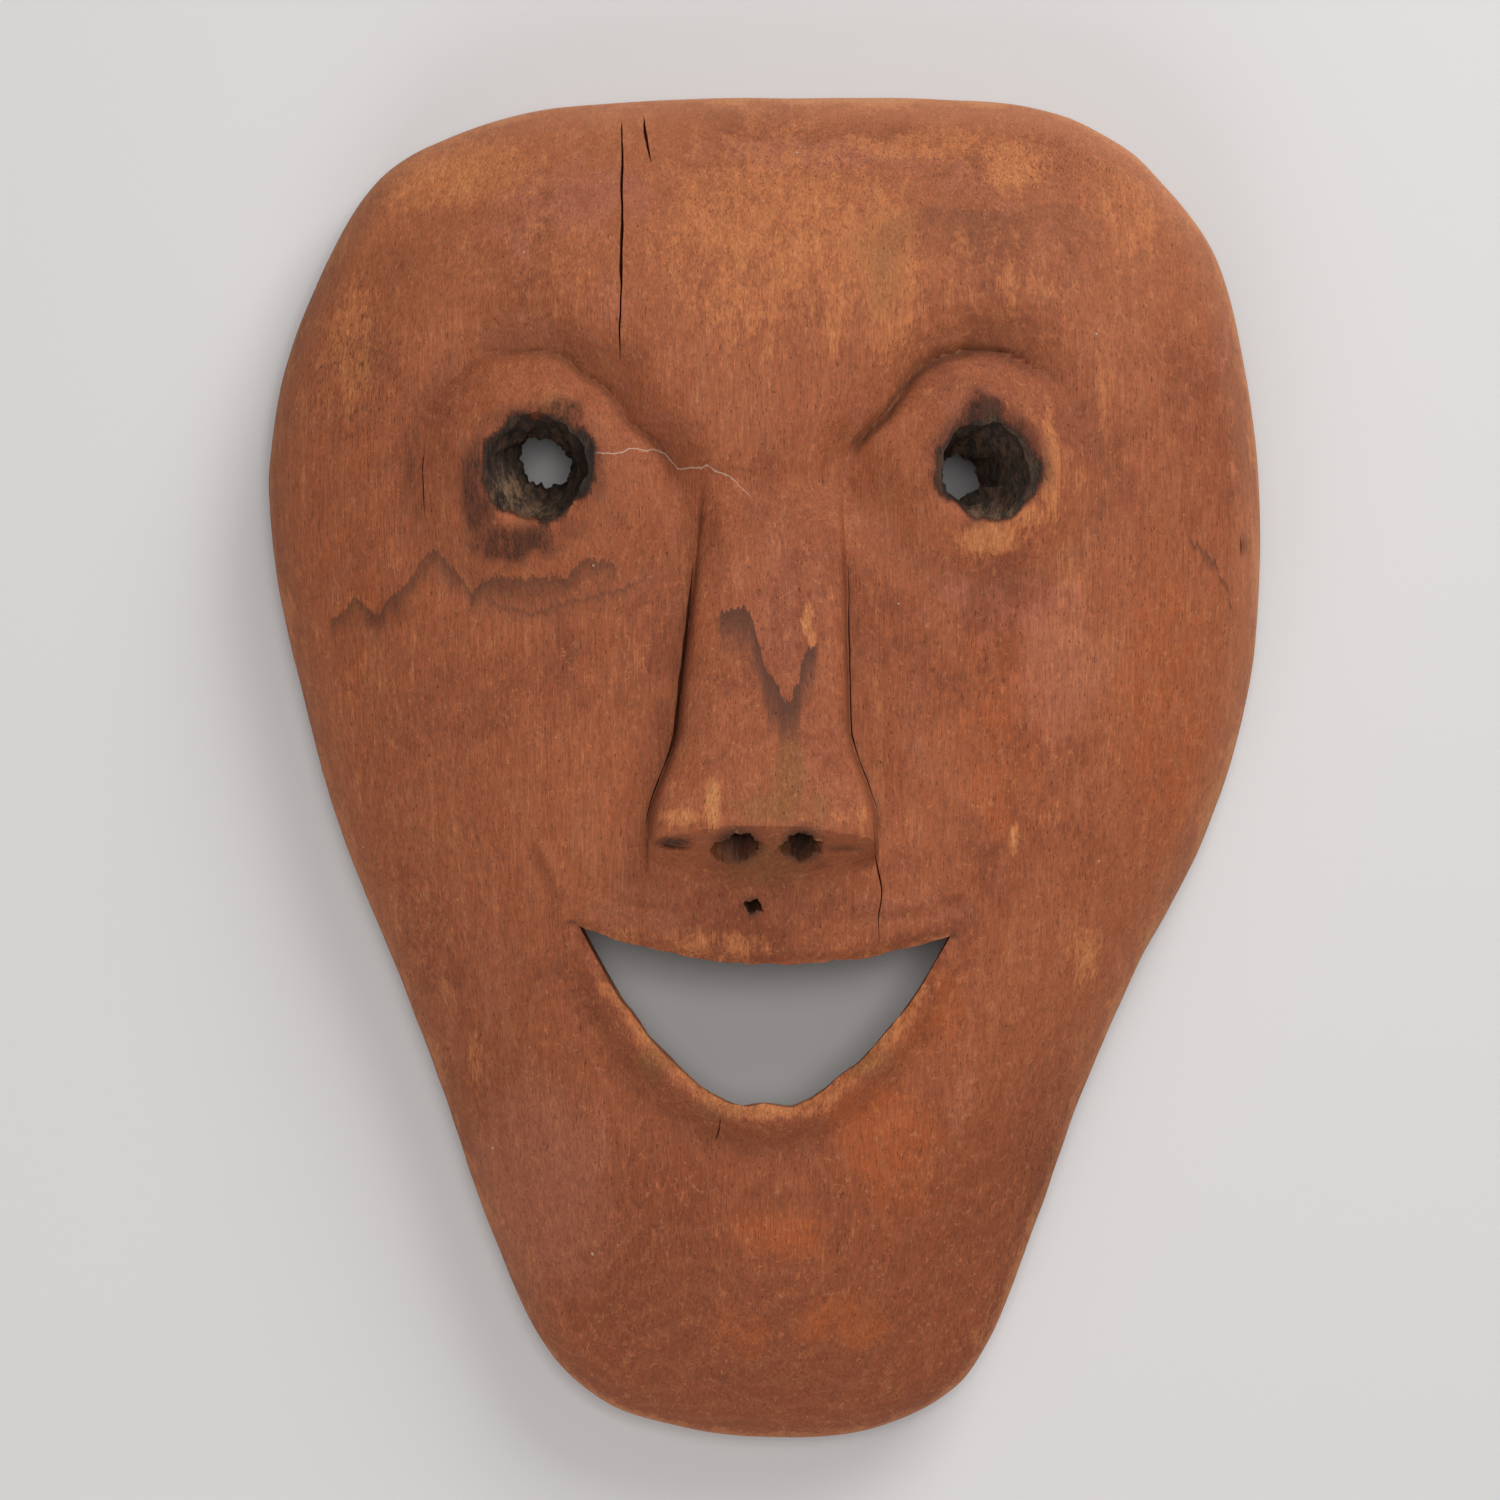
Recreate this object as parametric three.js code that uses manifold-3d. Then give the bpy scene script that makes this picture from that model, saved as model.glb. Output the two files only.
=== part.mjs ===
// A carved wooden folk mask: one piece of wood with a hollow back, burnt eye holes, a wedge nose
// and a cut-out grin. It lies face up on the flat rim of its back.
// Millimetres: Z = 0 is the rim's plane, +Z comes out of the face, +Y runs to the crown of the head
// and +X to the right of someone who looks at the face. The origin is the middle of the outline.
import * as THREE from "three";
import { mergeVertices } from "three/addons/utils/BufferGeometryUtils.js";
import Module from "manifold-3d";

// Overall sizes
const faceWidth = 215;
const faceHeight = 291;
const browHeight = 51; // the face's smooth crown at the forehead, over the rim's plane
const chinHeight = 42;
const noseReach = 66; // the tip of the nose over the rim's plane

// The rim and the wall
const rimWidth = 10; // the flat that the mask lies on
const rimSetback = 1.5; // the rim's outer edge, in from the widest outline
const edgeHeight = 25; // where the rounded edge passes into the face
const girthHeight = 12; // where the side is widest
const edgeRounding = 7; // how far in from the outline the rounded edge reaches
const wall = 13; // wood left between the face and the hollow
const hollowRounding = 16; // how far in from the rim the hollow's side takes to reach its floor

// Cuts right through the wood
const eyeFrontRadius = 11;
const eyeBackRadius = 6.5;
const eyeFunnelDepth = 12; // the burnt funnel, from the eye's surface to its narrow end
const nailHoleWidth = 3.4;
const mouthWidth = 78;
const mouthDrop = 39.5; // from the corners of the grin down to its lowest point
const mouthSag = 7; // how far the upper lip's edge hangs below the corners
const mouthBevel = 2.5; // the lower lip's cut leans this far towards the back
const mouthTilt = -0.024; // the grin's right corner is the lower one

// Carving that stands over or sinks into the smooth face
const creaseDepth = 5.5; // the deepest part of the line round an eye
const creaseWidth = 7;
const eyeSwell = 2.5;
const noseFlankDepth = 2.2;
const lipSwell = 2.2;
const lipGrooveDepth = 1.8;
const chinSwell = 2.5;
const nostrilRadius = 4.4;
const nostrilDepth = 5;
const crackWidth = 0.7;
const crackDepth = 6;

// Mesh fineness
const acrossSteps = 46; // even, because the hollow has half as many
const alongSteps = 58;
const outlineFineness = 12; // samples between two outline points
const relaxRounds = 60; // evens out the grid's cells where its corners meet a smooth outline
const boreSides = 20;

const halfWidth = faceWidth / 2;
const halfHeight = faceHeight / 2;

// The outline, clockwise from the left temple, as shares of the half width and half height.
// Temple and jaw corners, where the four sides of the face's grid meet, are marked.
const outlineShares = [
  [-0.776, 0.879, "corner"],
  [-0.639, 0.939],
  [-0.47, 0.978],
  [-0.24, 0.996],
  [0.04, 1.0],
  [0.34, 0.998],
  [0.555, 0.984],
  [0.703, 0.938],
  [0.796, 0.879, "corner"],
  [0.914, 0.759],
  [0.979, 0.56],
  [1.002, 0.33],
  [0.975, 0.1],
  [0.882, -0.115],
  [0.745, -0.31],
  [0.632, -0.506],
  [0.548, -0.68],
  [0.454, -0.855, "corner"],
  [0.362, -0.938],
  [0.195, -0.99],
  [0, -0.998],
  [-0.185, -0.98],
  [-0.332, -0.94],
  [-0.448, -0.855, "corner"],
  [-0.556, -0.68],
  [-0.639, -0.5],
  [-0.735, -0.31],
  [-0.856, -0.09],
  [-0.948, 0.161],
  [-0.998, 0.38],
  [-0.972, 0.58],
  [-0.879, 0.759],
];

// The rounded side, from the face down to the rim: shares of the edge's rounding and height.
const sideProfile = [
  [1, 1],
  [0.45, 0.86],
  [0.12, 0.66],
];

// Places on the face
const noseCentre = 0.016 * halfWidth;
const noseRootY = 0.395 * halfHeight;
const noseTipY = -0.08 * halfHeight;
const noseFootY = -0.163 * halfHeight; // where the nose's underside meets the upper lip
const noseRootHalf = 0.13 * halfWidth;
const noseBaseHalf = 0.165 * halfWidth;
const noseWingFlare = 0.055 * halfWidth;
const noseRidgeHalf = 0.085 * halfWidth;
const mouthX = 0;
const mouthY = -0.235 * halfHeight;
const nailHoleX = -0.022 * halfWidth;
const nailHoleY = -0.198 * halfHeight;

// side: the way to the nose; lean: how far the burnt bore drifts in x and y as it goes in
const eyes = [
  { x: -0.442 * halfWidth, y: 0.433 * halfHeight, side: 1, lean: [-0.07, -0.15] },
  { x: 0.438 * halfWidth, y: 0.432 * halfHeight, side: -1, lean: [0.5, 0.1] },
];
const eyeHalfWidth = 0.235 * halfWidth;
const eyeHalfHeight = 0.18 * halfHeight;

const smooth = (t) => {
  const s = Math.min(1, Math.max(0, t));
  return s * s * (3 - 2 * s);
};
const bell = (distance, width) => Math.exp(-((distance / width) ** 2));
const mix = (a, b, t) => a + (b - a) * t;

// The smooth crown of the head down the middle: from the chin up to the brow.
function crown(y) {
  return mix(chinHeight, browHeight, smooth((y / halfHeight + 0.95) / 1.6));
}

// A swollen eye inside a crease. The crease is deepest over the eye, towards the nose.
function eyeCarving(x, y, eye) {
  const dx = (x - eye.x) / eyeHalfWidth;
  const dy = (y - eye.y) / eyeHalfHeight;
  const radius = Math.hypot(dx, dy);
  const towardsBrow = (dx * eye.side * 0.6 + dy * 0.8) / Math.max(radius, 0.01);
  const depth = creaseDepth * mix(0.22, 1, smooth((towardsBrow + 0.5) / 1.2));
  const outside = radius > 1 ? 1 : 1.5;
  const crease = -depth * bell((radius - 1) * eyeHalfWidth, creaseWidth * outside);
  return crease + eyeSwell * Math.max(0, 1 - radius * radius);
}

// Half the nose's width at its foot: it widens slowly, then flares into the wings.
function noseHalf(y) {
  const down = (noseRootY - y) / (noseRootY - noseTipY);
  return mix(noseRootHalf, noseBaseHalf, down) + noseWingFlare * smooth((down - 0.7) / 0.3);
}

// A flat-topped wedge that rises in a straight line from its root to its tip and drops to the lip.
function noseCarving(x, y) {
  const reach = noseReach - crown(noseTipY);
  const rise = ((noseRootY - y) / (noseRootY - noseTipY)) * 0.95 + 0.05;
  const fall = (y - noseFootY) / (noseTipY - noseFootY);
  const ridge = noseRidgeHalf + 0.5 * (noseHalf(y) - noseRootHalf);
  const across = Math.abs(x - noseCentre);
  const flank = 1 - smooth((across - ridge) / (noseHalf(y) - ridge));
  const beside = bell(across - noseHalf(y) - creaseWidth / 2, creaseWidth);
  const length = smooth((y - noseFootY) / 20) * smooth((noseRootY - y) / 25);
  return reach * Math.max(0, Math.min(rise, fall, 1)) * flank - noseFlankDepth * beside * length;
}

// The grin: its corners' line, and its lower edge, close to a parabola between the corners.
const grinY = (x) => mouthY + mouthTilt * (x - mouthX);
const lowerLipY = (x) => grinY(x) - mouthDrop * (1 - Math.abs((x - mouthX) / (mouthWidth / 2)) ** 1.95);

// The raised rim under the grin and the groove round it, by the distance out from the lower edge.
function lipCarving(x, y) {
  const share = Math.min(1.3, Math.abs((x - mouthX) / (mouthWidth / 2)));
  const slope = (1.95 * mouthDrop * share ** 0.95) / (mouthWidth / 2);
  const out = (lowerLipY(x) - y) / Math.hypot(1, slope);
  const fade = 1 - smooth((share - 0.75) / 0.5);
  const upper = lipSwell * bell(y - mix(noseFootY, mouthY, 0.6), 13) * bell(x - mouthX, mouthWidth * 0.48);
  return fade * (lipSwell * bell(out - 2, 4) - lipGrooveDepth * bell(out - 9, 4)) + upper;
}

function chinCarving(x, y) {
  const radius = Math.hypot((x - 2) / (0.36 * halfWidth), (y + 0.76 * halfHeight) / (0.2 * halfHeight));
  return chinSwell * smooth(1 - radius);
}

// How far the dome has risen, 0 at the edge of the face's grid and 1 in its middle.
const domeShare = (u, v) => (1 - Math.abs(2 * u - 1) ** 2.6) * (1 - Math.abs(2 * v - 1) ** 5);

// The face over the rim's plane. u and v run from 0 to 1 across and up the face's grid.
function faceZ(p, u, v) {
  const share = domeShare(u, v);
  const carving = noseCarving(p.x, p.y) + lipCarving(p.x, p.y) + chinCarving(p.x, p.y);
  const sockets = eyes.reduce((sum, eye) => sum + eyeCarving(p.x, p.y, eye), 0);
  return mix(edgeHeight, crown(p.y), share) + (carving + sockets) * smooth(5 * share);
}

// The shortest way from a point to a closed ring of points.
function distanceToRing(p, ring) {
  const near = new THREE.Vector3();
  const line = new THREE.Line3();
  const flat = new THREE.Vector3(p.x, p.y, 0);
  return Math.min(
    ...ring.map((start, k) =>
      line.set(start, ring[(k + 1) % ring.length]).closestPointToPoint(flat, true, near).distanceTo(flat),
    ),
  );
}

// The hollow follows the uncarved dome, a wall's thickness below it, and rounds down to the rim.
function hollowZ(p, u, v, ring) {
  const rounded = 1 - (1 - Math.min(1, distanceToRing(p, ring) / hollowRounding)) ** 2;
  return (mix(edgeHeight, crown(p.y), domeShare(u, v)) - wall) * rounded;
}

// Steps lie closer in the middle of the face, where the nose and the mouth are.
const acrossCrowding = 0.45;
const alongCrowding = 0.2;
const crowd = (s, amount) => s + (amount * Math.sin(2 * Math.PI * s)) / (2 * Math.PI);

// The outline as a closed spline, cut into its four sides. A side's nodes lie at shares of x or y.
function outlineRing(acrossCount, alongCount) {
  const points = outlineShares.map(([sx, sy]) => new THREE.Vector3(sx * halfWidth, sy * halfHeight, 0));
  const spline = new THREE.CatmullRomCurve3(points, true, "catmullrom", 0.5);
  const samples = spline.getPoints(points.length * outlineFineness);
  const corners = outlineShares.flatMap((share, i) => (share[2] === "corner" ? [i * outlineFineness] : []));
  const ring = [];
  corners.forEach((start, side) => {
    const end = side === 3 ? points.length * outlineFineness : corners[side + 1];
    const key = side % 2 === 0 ? "x" : "y";
    const count = side % 2 === 0 ? acrossCount : alongCount;
    const amount = side % 2 === 0 ? acrossCrowding : alongCrowding;
    for (let i = 0; i < count; i++) {
      const share = crowd(i / count, amount);
      const target = mix(samples[start][key], samples[end][key], share);
      let k = start;
      while (k < end - 1 && (samples[k + 1][key] - target) * (samples[end][key] - samples[start][key]) < 0) k++;
      const t = (target - samples[k][key]) / (samples[k + 1][key] - samples[k][key]);
      const place = samples[k].clone().lerp(samples[k + 1], t);
      const before = samples[(k - 2 + samples.length - 1) % (samples.length - 1)];
      const after = samples[(k + 3) % (samples.length - 1)];
      const along = after.clone().sub(before).normalize();
      ring.push({ place, inward: new THREE.Vector3(along.y, -along.x, 0) });
    }
  });
  return ring;
}

const insetRing = (ring, inset) => ring.map(({ place, inward }) => place.clone().addScaledVector(inward, inset));

// Moves each inner point of a grid to the middle of its four neighbours, again and again.
function relax(rows) {
  for (let round = 0; round < relaxRounds; round++)
    for (let j = 1; j + 1 < rows.length; j++)
      for (let i = 1; i + 1 < rows[j].length; i++) {
        const p = rows[j][i].set(0, 0, 0);
        p.add(rows[j - 1][i]).add(rows[j + 1][i]).add(rows[j][i - 1]).add(rows[j][i + 1]).multiplyScalar(0.25);
      }
}

// A patch over a closed ring of four sides: each inner point is blended from the four sides.
function patch(ring, acrossCount, alongCount, height) {
  const top = (i) => ring[i];
  const right = (j) => ring[acrossCount + alongCount - j];
  const bottom = (i) => ring[acrossCount + alongCount + acrossCount - i];
  const left = (j) => ring[(2 * acrossCount + alongCount + j) % ring.length];
  const rows = [];
  for (let j = 0; j <= alongCount; j++) {
    const v = crowd(j / alongCount, alongCrowding);
    const row = [];
    for (let i = 0; i <= acrossCount; i++) {
      const u = crowd(i / acrossCount, acrossCrowding);
      const p = new THREE.Vector3();
      p.addScaledVector(bottom(i), 1 - v).addScaledVector(top(i), v);
      p.addScaledVector(left(j), 1 - u).addScaledVector(right(j), u);
      p.addScaledVector(bottom(0), -(1 - u) * (1 - v)).addScaledVector(bottom(acrossCount), -u * (1 - v));
      p.addScaledVector(top(0), -(1 - u) * v).addScaledVector(top(acrossCount), -u * v);
      row.push(p);
    }
    rows.push(row);
  }
  relax(rows);
  rows.forEach((row, j) => {
    const v = crowd(j / alongCount, alongCrowding);
    row.forEach((p, i) => p.setZ(height(p, crowd(i / acrossCount, acrossCrowding), v, ring)));
  });
  return rows;
}

// The ring of a patch's own edge points, clockwise from the top left, as in outlineRing.
function patchEdge(rows) {
  const top = rows.length - 1;
  const last = rows[0].length - 1;
  const edge = [];
  for (let i = 0; i < last; i++) edge.push(rows[top][i]);
  for (let j = top; j > 0; j--) edge.push(rows[j][last]);
  for (let i = last; i > 0; i--) edge.push(rows[0][i]);
  for (let j = 0; j < top; j++) edge.push(rows[j][0]);
  return edge;
}

function carvedBlank() {
  const triangles = [];
  const add = (...corners) => corners.forEach((p) => triangles.push(p.x, p.y, p.z));
  // each cell is cut along the diagonal that points at the nearest corner of its patch
  const addPatch = (rows, facesUp) => {
    for (let j = 0; j + 1 < rows.length; j++)
      for (let i = 0; i + 1 < rows[j].length; i++) {
        const cell = [rows[j][i], rows[j][i + 1], rows[j + 1][i + 1], rows[j + 1][i]];
        if (j < rows.length / 2 !== i < rows[j].length / 2) cell.push(cell.shift());
        const [a, b, c, d] = cell;
        if (facesUp) add(a, b, c, a, c, d);
        else add(a, c, b, a, d, c);
      }
  };
  // joins a ring to the next one further down and out
  const addBand = (upper, lower) => {
    for (let k = 0; k < upper.length; k++) {
      const n = (k + 1) % upper.length;
      add(upper[k], upper[n], lower[n], upper[k], lower[n], lower[k]);
    }
  };

  const outline = outlineRing(acrossSteps, alongSteps);
  const atHeight = (inset, z) => insetRing(outline, inset).map((p) => p.setZ(z));
  const face = patch(insetRing(outline, edgeRounding), acrossSteps, alongSteps, faceZ);
  addPatch(face, true);

  const sides = sideProfile.slice(1).map(([inset, height]) => atHeight(inset * edgeRounding, height * edgeHeight));
  const rings = [patchEdge(face), ...sides, atHeight(0, girthHeight), atHeight(rimSetback, 0)];
  for (let k = 0; k + 1 < rings.length; k++) addBand(rings[k], rings[k + 1]);

  const innerRing = insetRing(outline, rimSetback + rimWidth).filter((_, k) => k % 2 === 0);
  const hollow = patch(innerRing, acrossSteps / 2, alongSteps / 2, hollowZ);
  addPatch(hollow, false);

  // the flat rim: two outer steps to one inner step
  const outer = rings[rings.length - 1];
  const inner = patchEdge(hollow);
  inner.forEach((p) => p.setZ(0));
  for (let k = 0; k < inner.length; k++) {
    const n = (k + 1) % inner.length;
    const [a, b, c] = [outer[2 * k], outer[2 * k + 1], outer[(2 * k + 2) % outer.length]];
    add(a, b, inner[k], b, inner[n], inner[k], b, c, inner[n]);
  }
  return new THREE.BufferGeometry().setAttribute("position", new THREE.Float32BufferAttribute(triangles, 3));
}

// The mouth's cut: a shape seen from the front, whose lower side leans in towards the back.
function mouthCutter() {
  const half = mouthWidth / 2;
  const steps = 12;
  const shape = new THREE.Shape();
  for (let k = 0; k <= steps; k++) {
    const x = mix(-half, half, k / steps);
    const y = grinY(mouthX + x) - mouthSag * (1 - (x / half) ** 2);
    if (k === 0) shape.moveTo(mouthX + x, y);
    else shape.lineTo(mouthX + x, y);
  }
  for (let k = steps - 1; k > 0; k--) {
    const x = mix(-half, half, k / steps);
    shape.lineTo(mouthX + x, lowerLipY(mouthX + x));
  }
  const height = browHeight * 1.4;
  const cutter = new THREE.ExtrudeGeometry(shape, { depth: height, bevelEnabled: false });
  const place = cutter.attributes.position;
  for (let k = 0; k < place.count; k++) {
    const down = (mouthY - mouthSag - place.getY(k)) / (mouthDrop - mouthSag);
    const back = 1 - place.getZ(k) / chinHeight;
    place.setY(k, place.getY(k) + (mouthBevel * Math.max(0, down) * back * chinHeight) / wall);
  }
  return cutter;
}

// A burnt eye hole: narrow at the back, then a funnel that opens to the face.
function eyeCutter(eye) {
  const front = crown(eye.y) - 2;
  const narrow = front - eyeFunnelDepth;
  const profile = [
    new THREE.Vector2(0, narrow - 2 * wall),
    new THREE.Vector2(eyeBackRadius, narrow - 2 * wall),
    new THREE.Vector2(eyeBackRadius, narrow),
    new THREE.Vector2(eyeFrontRadius, front),
    new THREE.Vector2(eyeFrontRadius, front + wall),
    new THREE.Vector2(0, front + wall),
  ];
  const cutter = new THREE.LatheGeometry(profile, boreSides).rotateX(Math.PI / 2);
  const place = cutter.attributes.position;
  for (let k = 0; k < place.count; k++) {
    const depth = Math.min(0, Math.max(place.getZ(k), narrow - wall / 2) - front);
    place.setX(k, place.getX(k) + eye.x + eye.lean[0] * depth);
    place.setY(k, place.getY(k) + eye.y + eye.lean[1] * depth);
  }
  return cutter;
}

// A blind nostril, square to the nose's underside.
function nostrilCutter(offset) {
  const middleY = mix(noseTipY, noseFootY, 0.45);
  const middleZ = mix(noseReach, crown(noseFootY), 0.45);
  const slope = Math.atan2(noseReach - crown(noseFootY), noseTipY - noseFootY);
  const cutter = new THREE.CylinderGeometry(nostrilRadius, nostrilRadius * 0.6, 2 * nostrilDepth, 12);
  cutter.scale(1, 1, 1.4).rotateX(Math.PI / 2 + slope);
  return cutter.translate(noseCentre + offset, middleY, middleZ);
}

// A drying crack: a long thin lozenge in plan, straight down into the wood.
function crackCutter(x, y, length, tilt) {
  const shape = new THREE.Shape();
  shape.moveTo(0, length / 2);
  shape.lineTo(crackWidth / 2, length * 0.2);
  shape.lineTo(crackWidth / 2, -length * 0.15);
  shape.lineTo(0, -length / 2);
  shape.lineTo(-crackWidth / 2, -length * 0.15);
  shape.lineTo(-crackWidth / 2, length * 0.2);
  const cutter = new THREE.ExtrudeGeometry(shape, { depth: noseReach, bevelEnabled: false });
  return cutter.rotateZ(tilt).translate(x, y, crown(y) - crackDepth);
}

const wasm = await Module();
wasm.setup();

function solidOf(geometry) {
  geometry.deleteAttribute("normal");
  geometry.deleteAttribute("uv");
  const merged = mergeVertices(geometry, 1e-4);
  const vertProperties = new Float32Array(merged.attributes.position.array);
  const triVerts = new Uint32Array(merged.index.array);
  return new wasm.Manifold(new wasm.Mesh({ numProp: 3, vertProperties, triVerts }));
}

function geometryOf(solid) {
  const mesh = solid.getMesh();
  const geometry = new THREE.BufferGeometry();
  geometry.setAttribute("position", new THREE.BufferAttribute(mesh.vertProperties, 3));
  geometry.setIndex(new THREE.BufferAttribute(mesh.triVerts, 1));
  geometry.computeVertexNormals();
  return geometry;
}

function carvedMask() {
  const nailHole = new THREE.BoxGeometry(nailHoleWidth, nailHoleWidth, 2 * noseReach);
  const cutters = [
    mouthCutter(),
    ...eyes.map(eyeCutter),
    nostrilCutter(-0.065 * halfWidth),
    nostrilCutter(0.058 * halfWidth),
    nailHole.rotateZ(0.25).translate(nailHoleX, nailHoleY, 0),
    crackCutter(-0.284 * halfWidth, 0.766 * halfHeight, 0.3 * halfHeight, 0.005),
    crackCutter(-0.232 * halfWidth, 0.928 * halfHeight, 0.05 * halfHeight, 0.16),
  ];
  const carved = cutters.reduce((wood, cutter) => wood.subtract(solidOf(cutter)), solidOf(carvedBlank()));
  return geometryOf(carved);
}

const mask = new THREE.Group();
const wood = new THREE.Mesh(
  carvedMask(),
  new THREE.MeshStandardMaterial({ color: 0x9a5b40, roughness: 0.75, metalness: 0 }),
);
wood.name = "mask";
mask.add(wood);

export default mask;
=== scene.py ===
# Carved wooden folk mask, lying face up on its hollow back, seen from straight above.
import math
import bpy
import numpy as np
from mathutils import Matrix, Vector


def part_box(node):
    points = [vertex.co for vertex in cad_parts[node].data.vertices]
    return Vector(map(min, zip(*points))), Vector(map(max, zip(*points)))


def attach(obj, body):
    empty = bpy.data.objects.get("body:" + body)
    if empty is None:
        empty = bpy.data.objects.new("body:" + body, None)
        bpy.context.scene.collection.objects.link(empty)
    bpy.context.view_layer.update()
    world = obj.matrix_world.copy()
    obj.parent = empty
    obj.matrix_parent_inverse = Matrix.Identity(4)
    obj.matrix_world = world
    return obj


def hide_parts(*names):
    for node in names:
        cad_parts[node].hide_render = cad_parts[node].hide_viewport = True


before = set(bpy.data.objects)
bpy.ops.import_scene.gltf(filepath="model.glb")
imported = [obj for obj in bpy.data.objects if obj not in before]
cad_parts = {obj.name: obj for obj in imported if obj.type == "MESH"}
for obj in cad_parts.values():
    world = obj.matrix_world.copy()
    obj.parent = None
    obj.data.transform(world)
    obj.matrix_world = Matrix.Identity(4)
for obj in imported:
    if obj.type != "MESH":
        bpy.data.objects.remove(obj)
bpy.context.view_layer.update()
maskLow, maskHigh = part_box("mask")
mm = 0.001
print("frame loaded")

# what a user would change on the carved face, in millimetres; the overall sizes are the frame's
face = {
    "halfWidth": (maskHigh.x - maskLow.x) / 2 / mm,
    "halfHeight": (maskHigh.y - maskLow.y) / 2 / mm,
    "noseReach": maskHigh.z / mm,
    "browHeight": 51,
    "chinHeight": 42,
    "edgeHeight": 25,
    "girthHeight": 12,
    "edgeRounding": 7,
    "rimSetback": 1.5,
    "rimWidth": 10,
    "wall": 13,
    "hollowRounding": 16,
    "creaseDepth": 5.5,
    "creaseWidth": 7,
    "eyeSwell": 2.5,
    "noseFlankDepth": 1.2,
    "lipSwell": 2.2,
    "lipGrooveDepth": 1.8,
    "chinSwell": 2.5,
    "toolRipple": 0.35,
    "boreWear": 1.2,
    "browCut": 1.6,
    "lipStep": 0.8,
}
halfWidth = face["halfWidth"]
halfHeight = face["halfHeight"]

# the outline clockwise from the left temple, in shares of the half width and half height
outlineShares = np.array([
    (-0.776, 0.879), (-0.639, 0.939), (-0.47, 0.978), (-0.24, 0.996), (0.04, 1.0), (0.34, 0.998),
    (0.555, 0.984), (0.703, 0.938), (0.796, 0.879), (0.914, 0.759), (0.979, 0.56), (1.002, 0.33),
    (0.975, 0.1), (0.882, -0.115), (0.745, -0.31), (0.632, -0.506), (0.548, -0.68), (0.454, -0.855),
    (0.362, -0.938), (0.195, -0.99), (0, -0.998), (-0.185, -0.98), (-0.332, -0.94), (-0.448, -0.855),
    (-0.556, -0.68), (-0.639, -0.5), (-0.735, -0.31), (-0.856, -0.09), (-0.948, 0.161), (-0.998, 0.38),
    (-0.972, 0.58), (-0.879, 0.759),
])
cornerPoints = [0, 8, 17, 23]  # temples and jaws, where the grid's four sides meet

# how fine the meshes are
fineness = {
    "across": 226,
    "along": 284,
    "outlineSamples": 40,
    "relaxRounds": 900,
    "acrossCrowding": 0.45,
    "alongCrowding": 0.2,
}

nose = {
    "rootX": 0.015 * halfWidth,
    "footX": -0.003 * halfWidth,
    "rootY": 0.395 * halfHeight,
    "tipY": -0.08 * halfHeight,
    "footY": -0.163 * halfHeight,
    "rootHalf": 0.137 * halfWidth,
    "baseHalf": 0.178 * halfWidth,
    "wingFlare": 0.045 * halfWidth,
}

grin = {
    "y": -0.235 * halfHeight,
    "half": 39,
    "drop": 37.4,
    "sag": 7,
    "tilt": -0.024,
    "bow": 1.95,
    "bevel": -0.6,
    "undercut": 0.043,
    "sawMarks": 0.8,
    "edgeWear": 1.7,
}

# side: the way to the nose; lean: drift in x and y for each millimetre out of the wood;
# crease: the angles where the cut crease starts beside the nose and where it begins to fade;
# shape: the crease's distance from the eye's middle every 30 degrees, from the nose over the brow
eyes = [
    {"x": -0.442 * halfWidth, "y": 0.433 * halfHeight, "side": 1, "lean": (-0.07, -0.15),
     "front": 10.7, "back": 6.0, "seed": 11, "cut": 1.1, "crease": (-12, 88),
     "shape": (28, 21.5, 22.3, 25.3, 27.3, 26.6, 26.4, 27.2, 27, 27.6, 28.8, 33)},
    {"x": 0.438 * halfWidth, "y": 0.432 * halfHeight, "side": -1, "lean": (0.5, 0.1),
     "front": 9.6, "back": 5.2, "seed": 12, "cut": 2.0, "crease": (1, 78),
     "shape": (30.0, 24.4, 25.6, 25.8, 23.4, 22, 23.9, 24.4, 23, 22.8, 23.2, 24.6)},
]


# an eased step from 0 to 1: three times the square less twice the cube
def smooth(t):
    t = np.clip(t, 0, 1)
    return t * t * (3 - 2 * t)


# a round bump: 1 over e to the power of the share's square
def bell(distance, width):
    return np.exp(-((distance / width) ** 2))


# a straight blend from a to b
def mix(a, b, t):
    return a + (b - a) * t


# random heights on a square lattice, blended smoothly between its points: 0 to 1
def patchy(x, y, cellX, cellY, seed):
    lattice = np.random.default_rng(seed).random((128, 128))
    gx = x / cellX + 500
    gy = y / cellY + 500
    ix = np.floor(gx).astype(int)
    iy = np.floor(gy).astype(int)
    fx = smooth(gx - ix)
    fy = smooth(gy - iy)
    low = mix(lattice[ix % 128, iy % 128], lattice[(ix + 1) % 128, iy % 128], fx)
    high = mix(lattice[ix % 128, (iy + 1) % 128], lattice[(ix + 1) % 128, (iy + 1) % 128], fx)
    return mix(low, high, fy)


# several sizes of patches added up, each half the size and strength of the one before
def rough(x, y, cellX, cellY, seed, layers=3):
    total = sum(patchy(x, y, cellX / 2**k, cellY / 2**k, seed + k) / 2**k for k in range(layers))
    return total / sum(0.5**k for k in range(layers))


# the smooth crown of the head down the middle: an eased rise from the chin to the brow
def crown(y):
    return mix(face["chinHeight"], face["browHeight"], smooth((y / halfHeight + 0.95) / 1.6))


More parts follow.
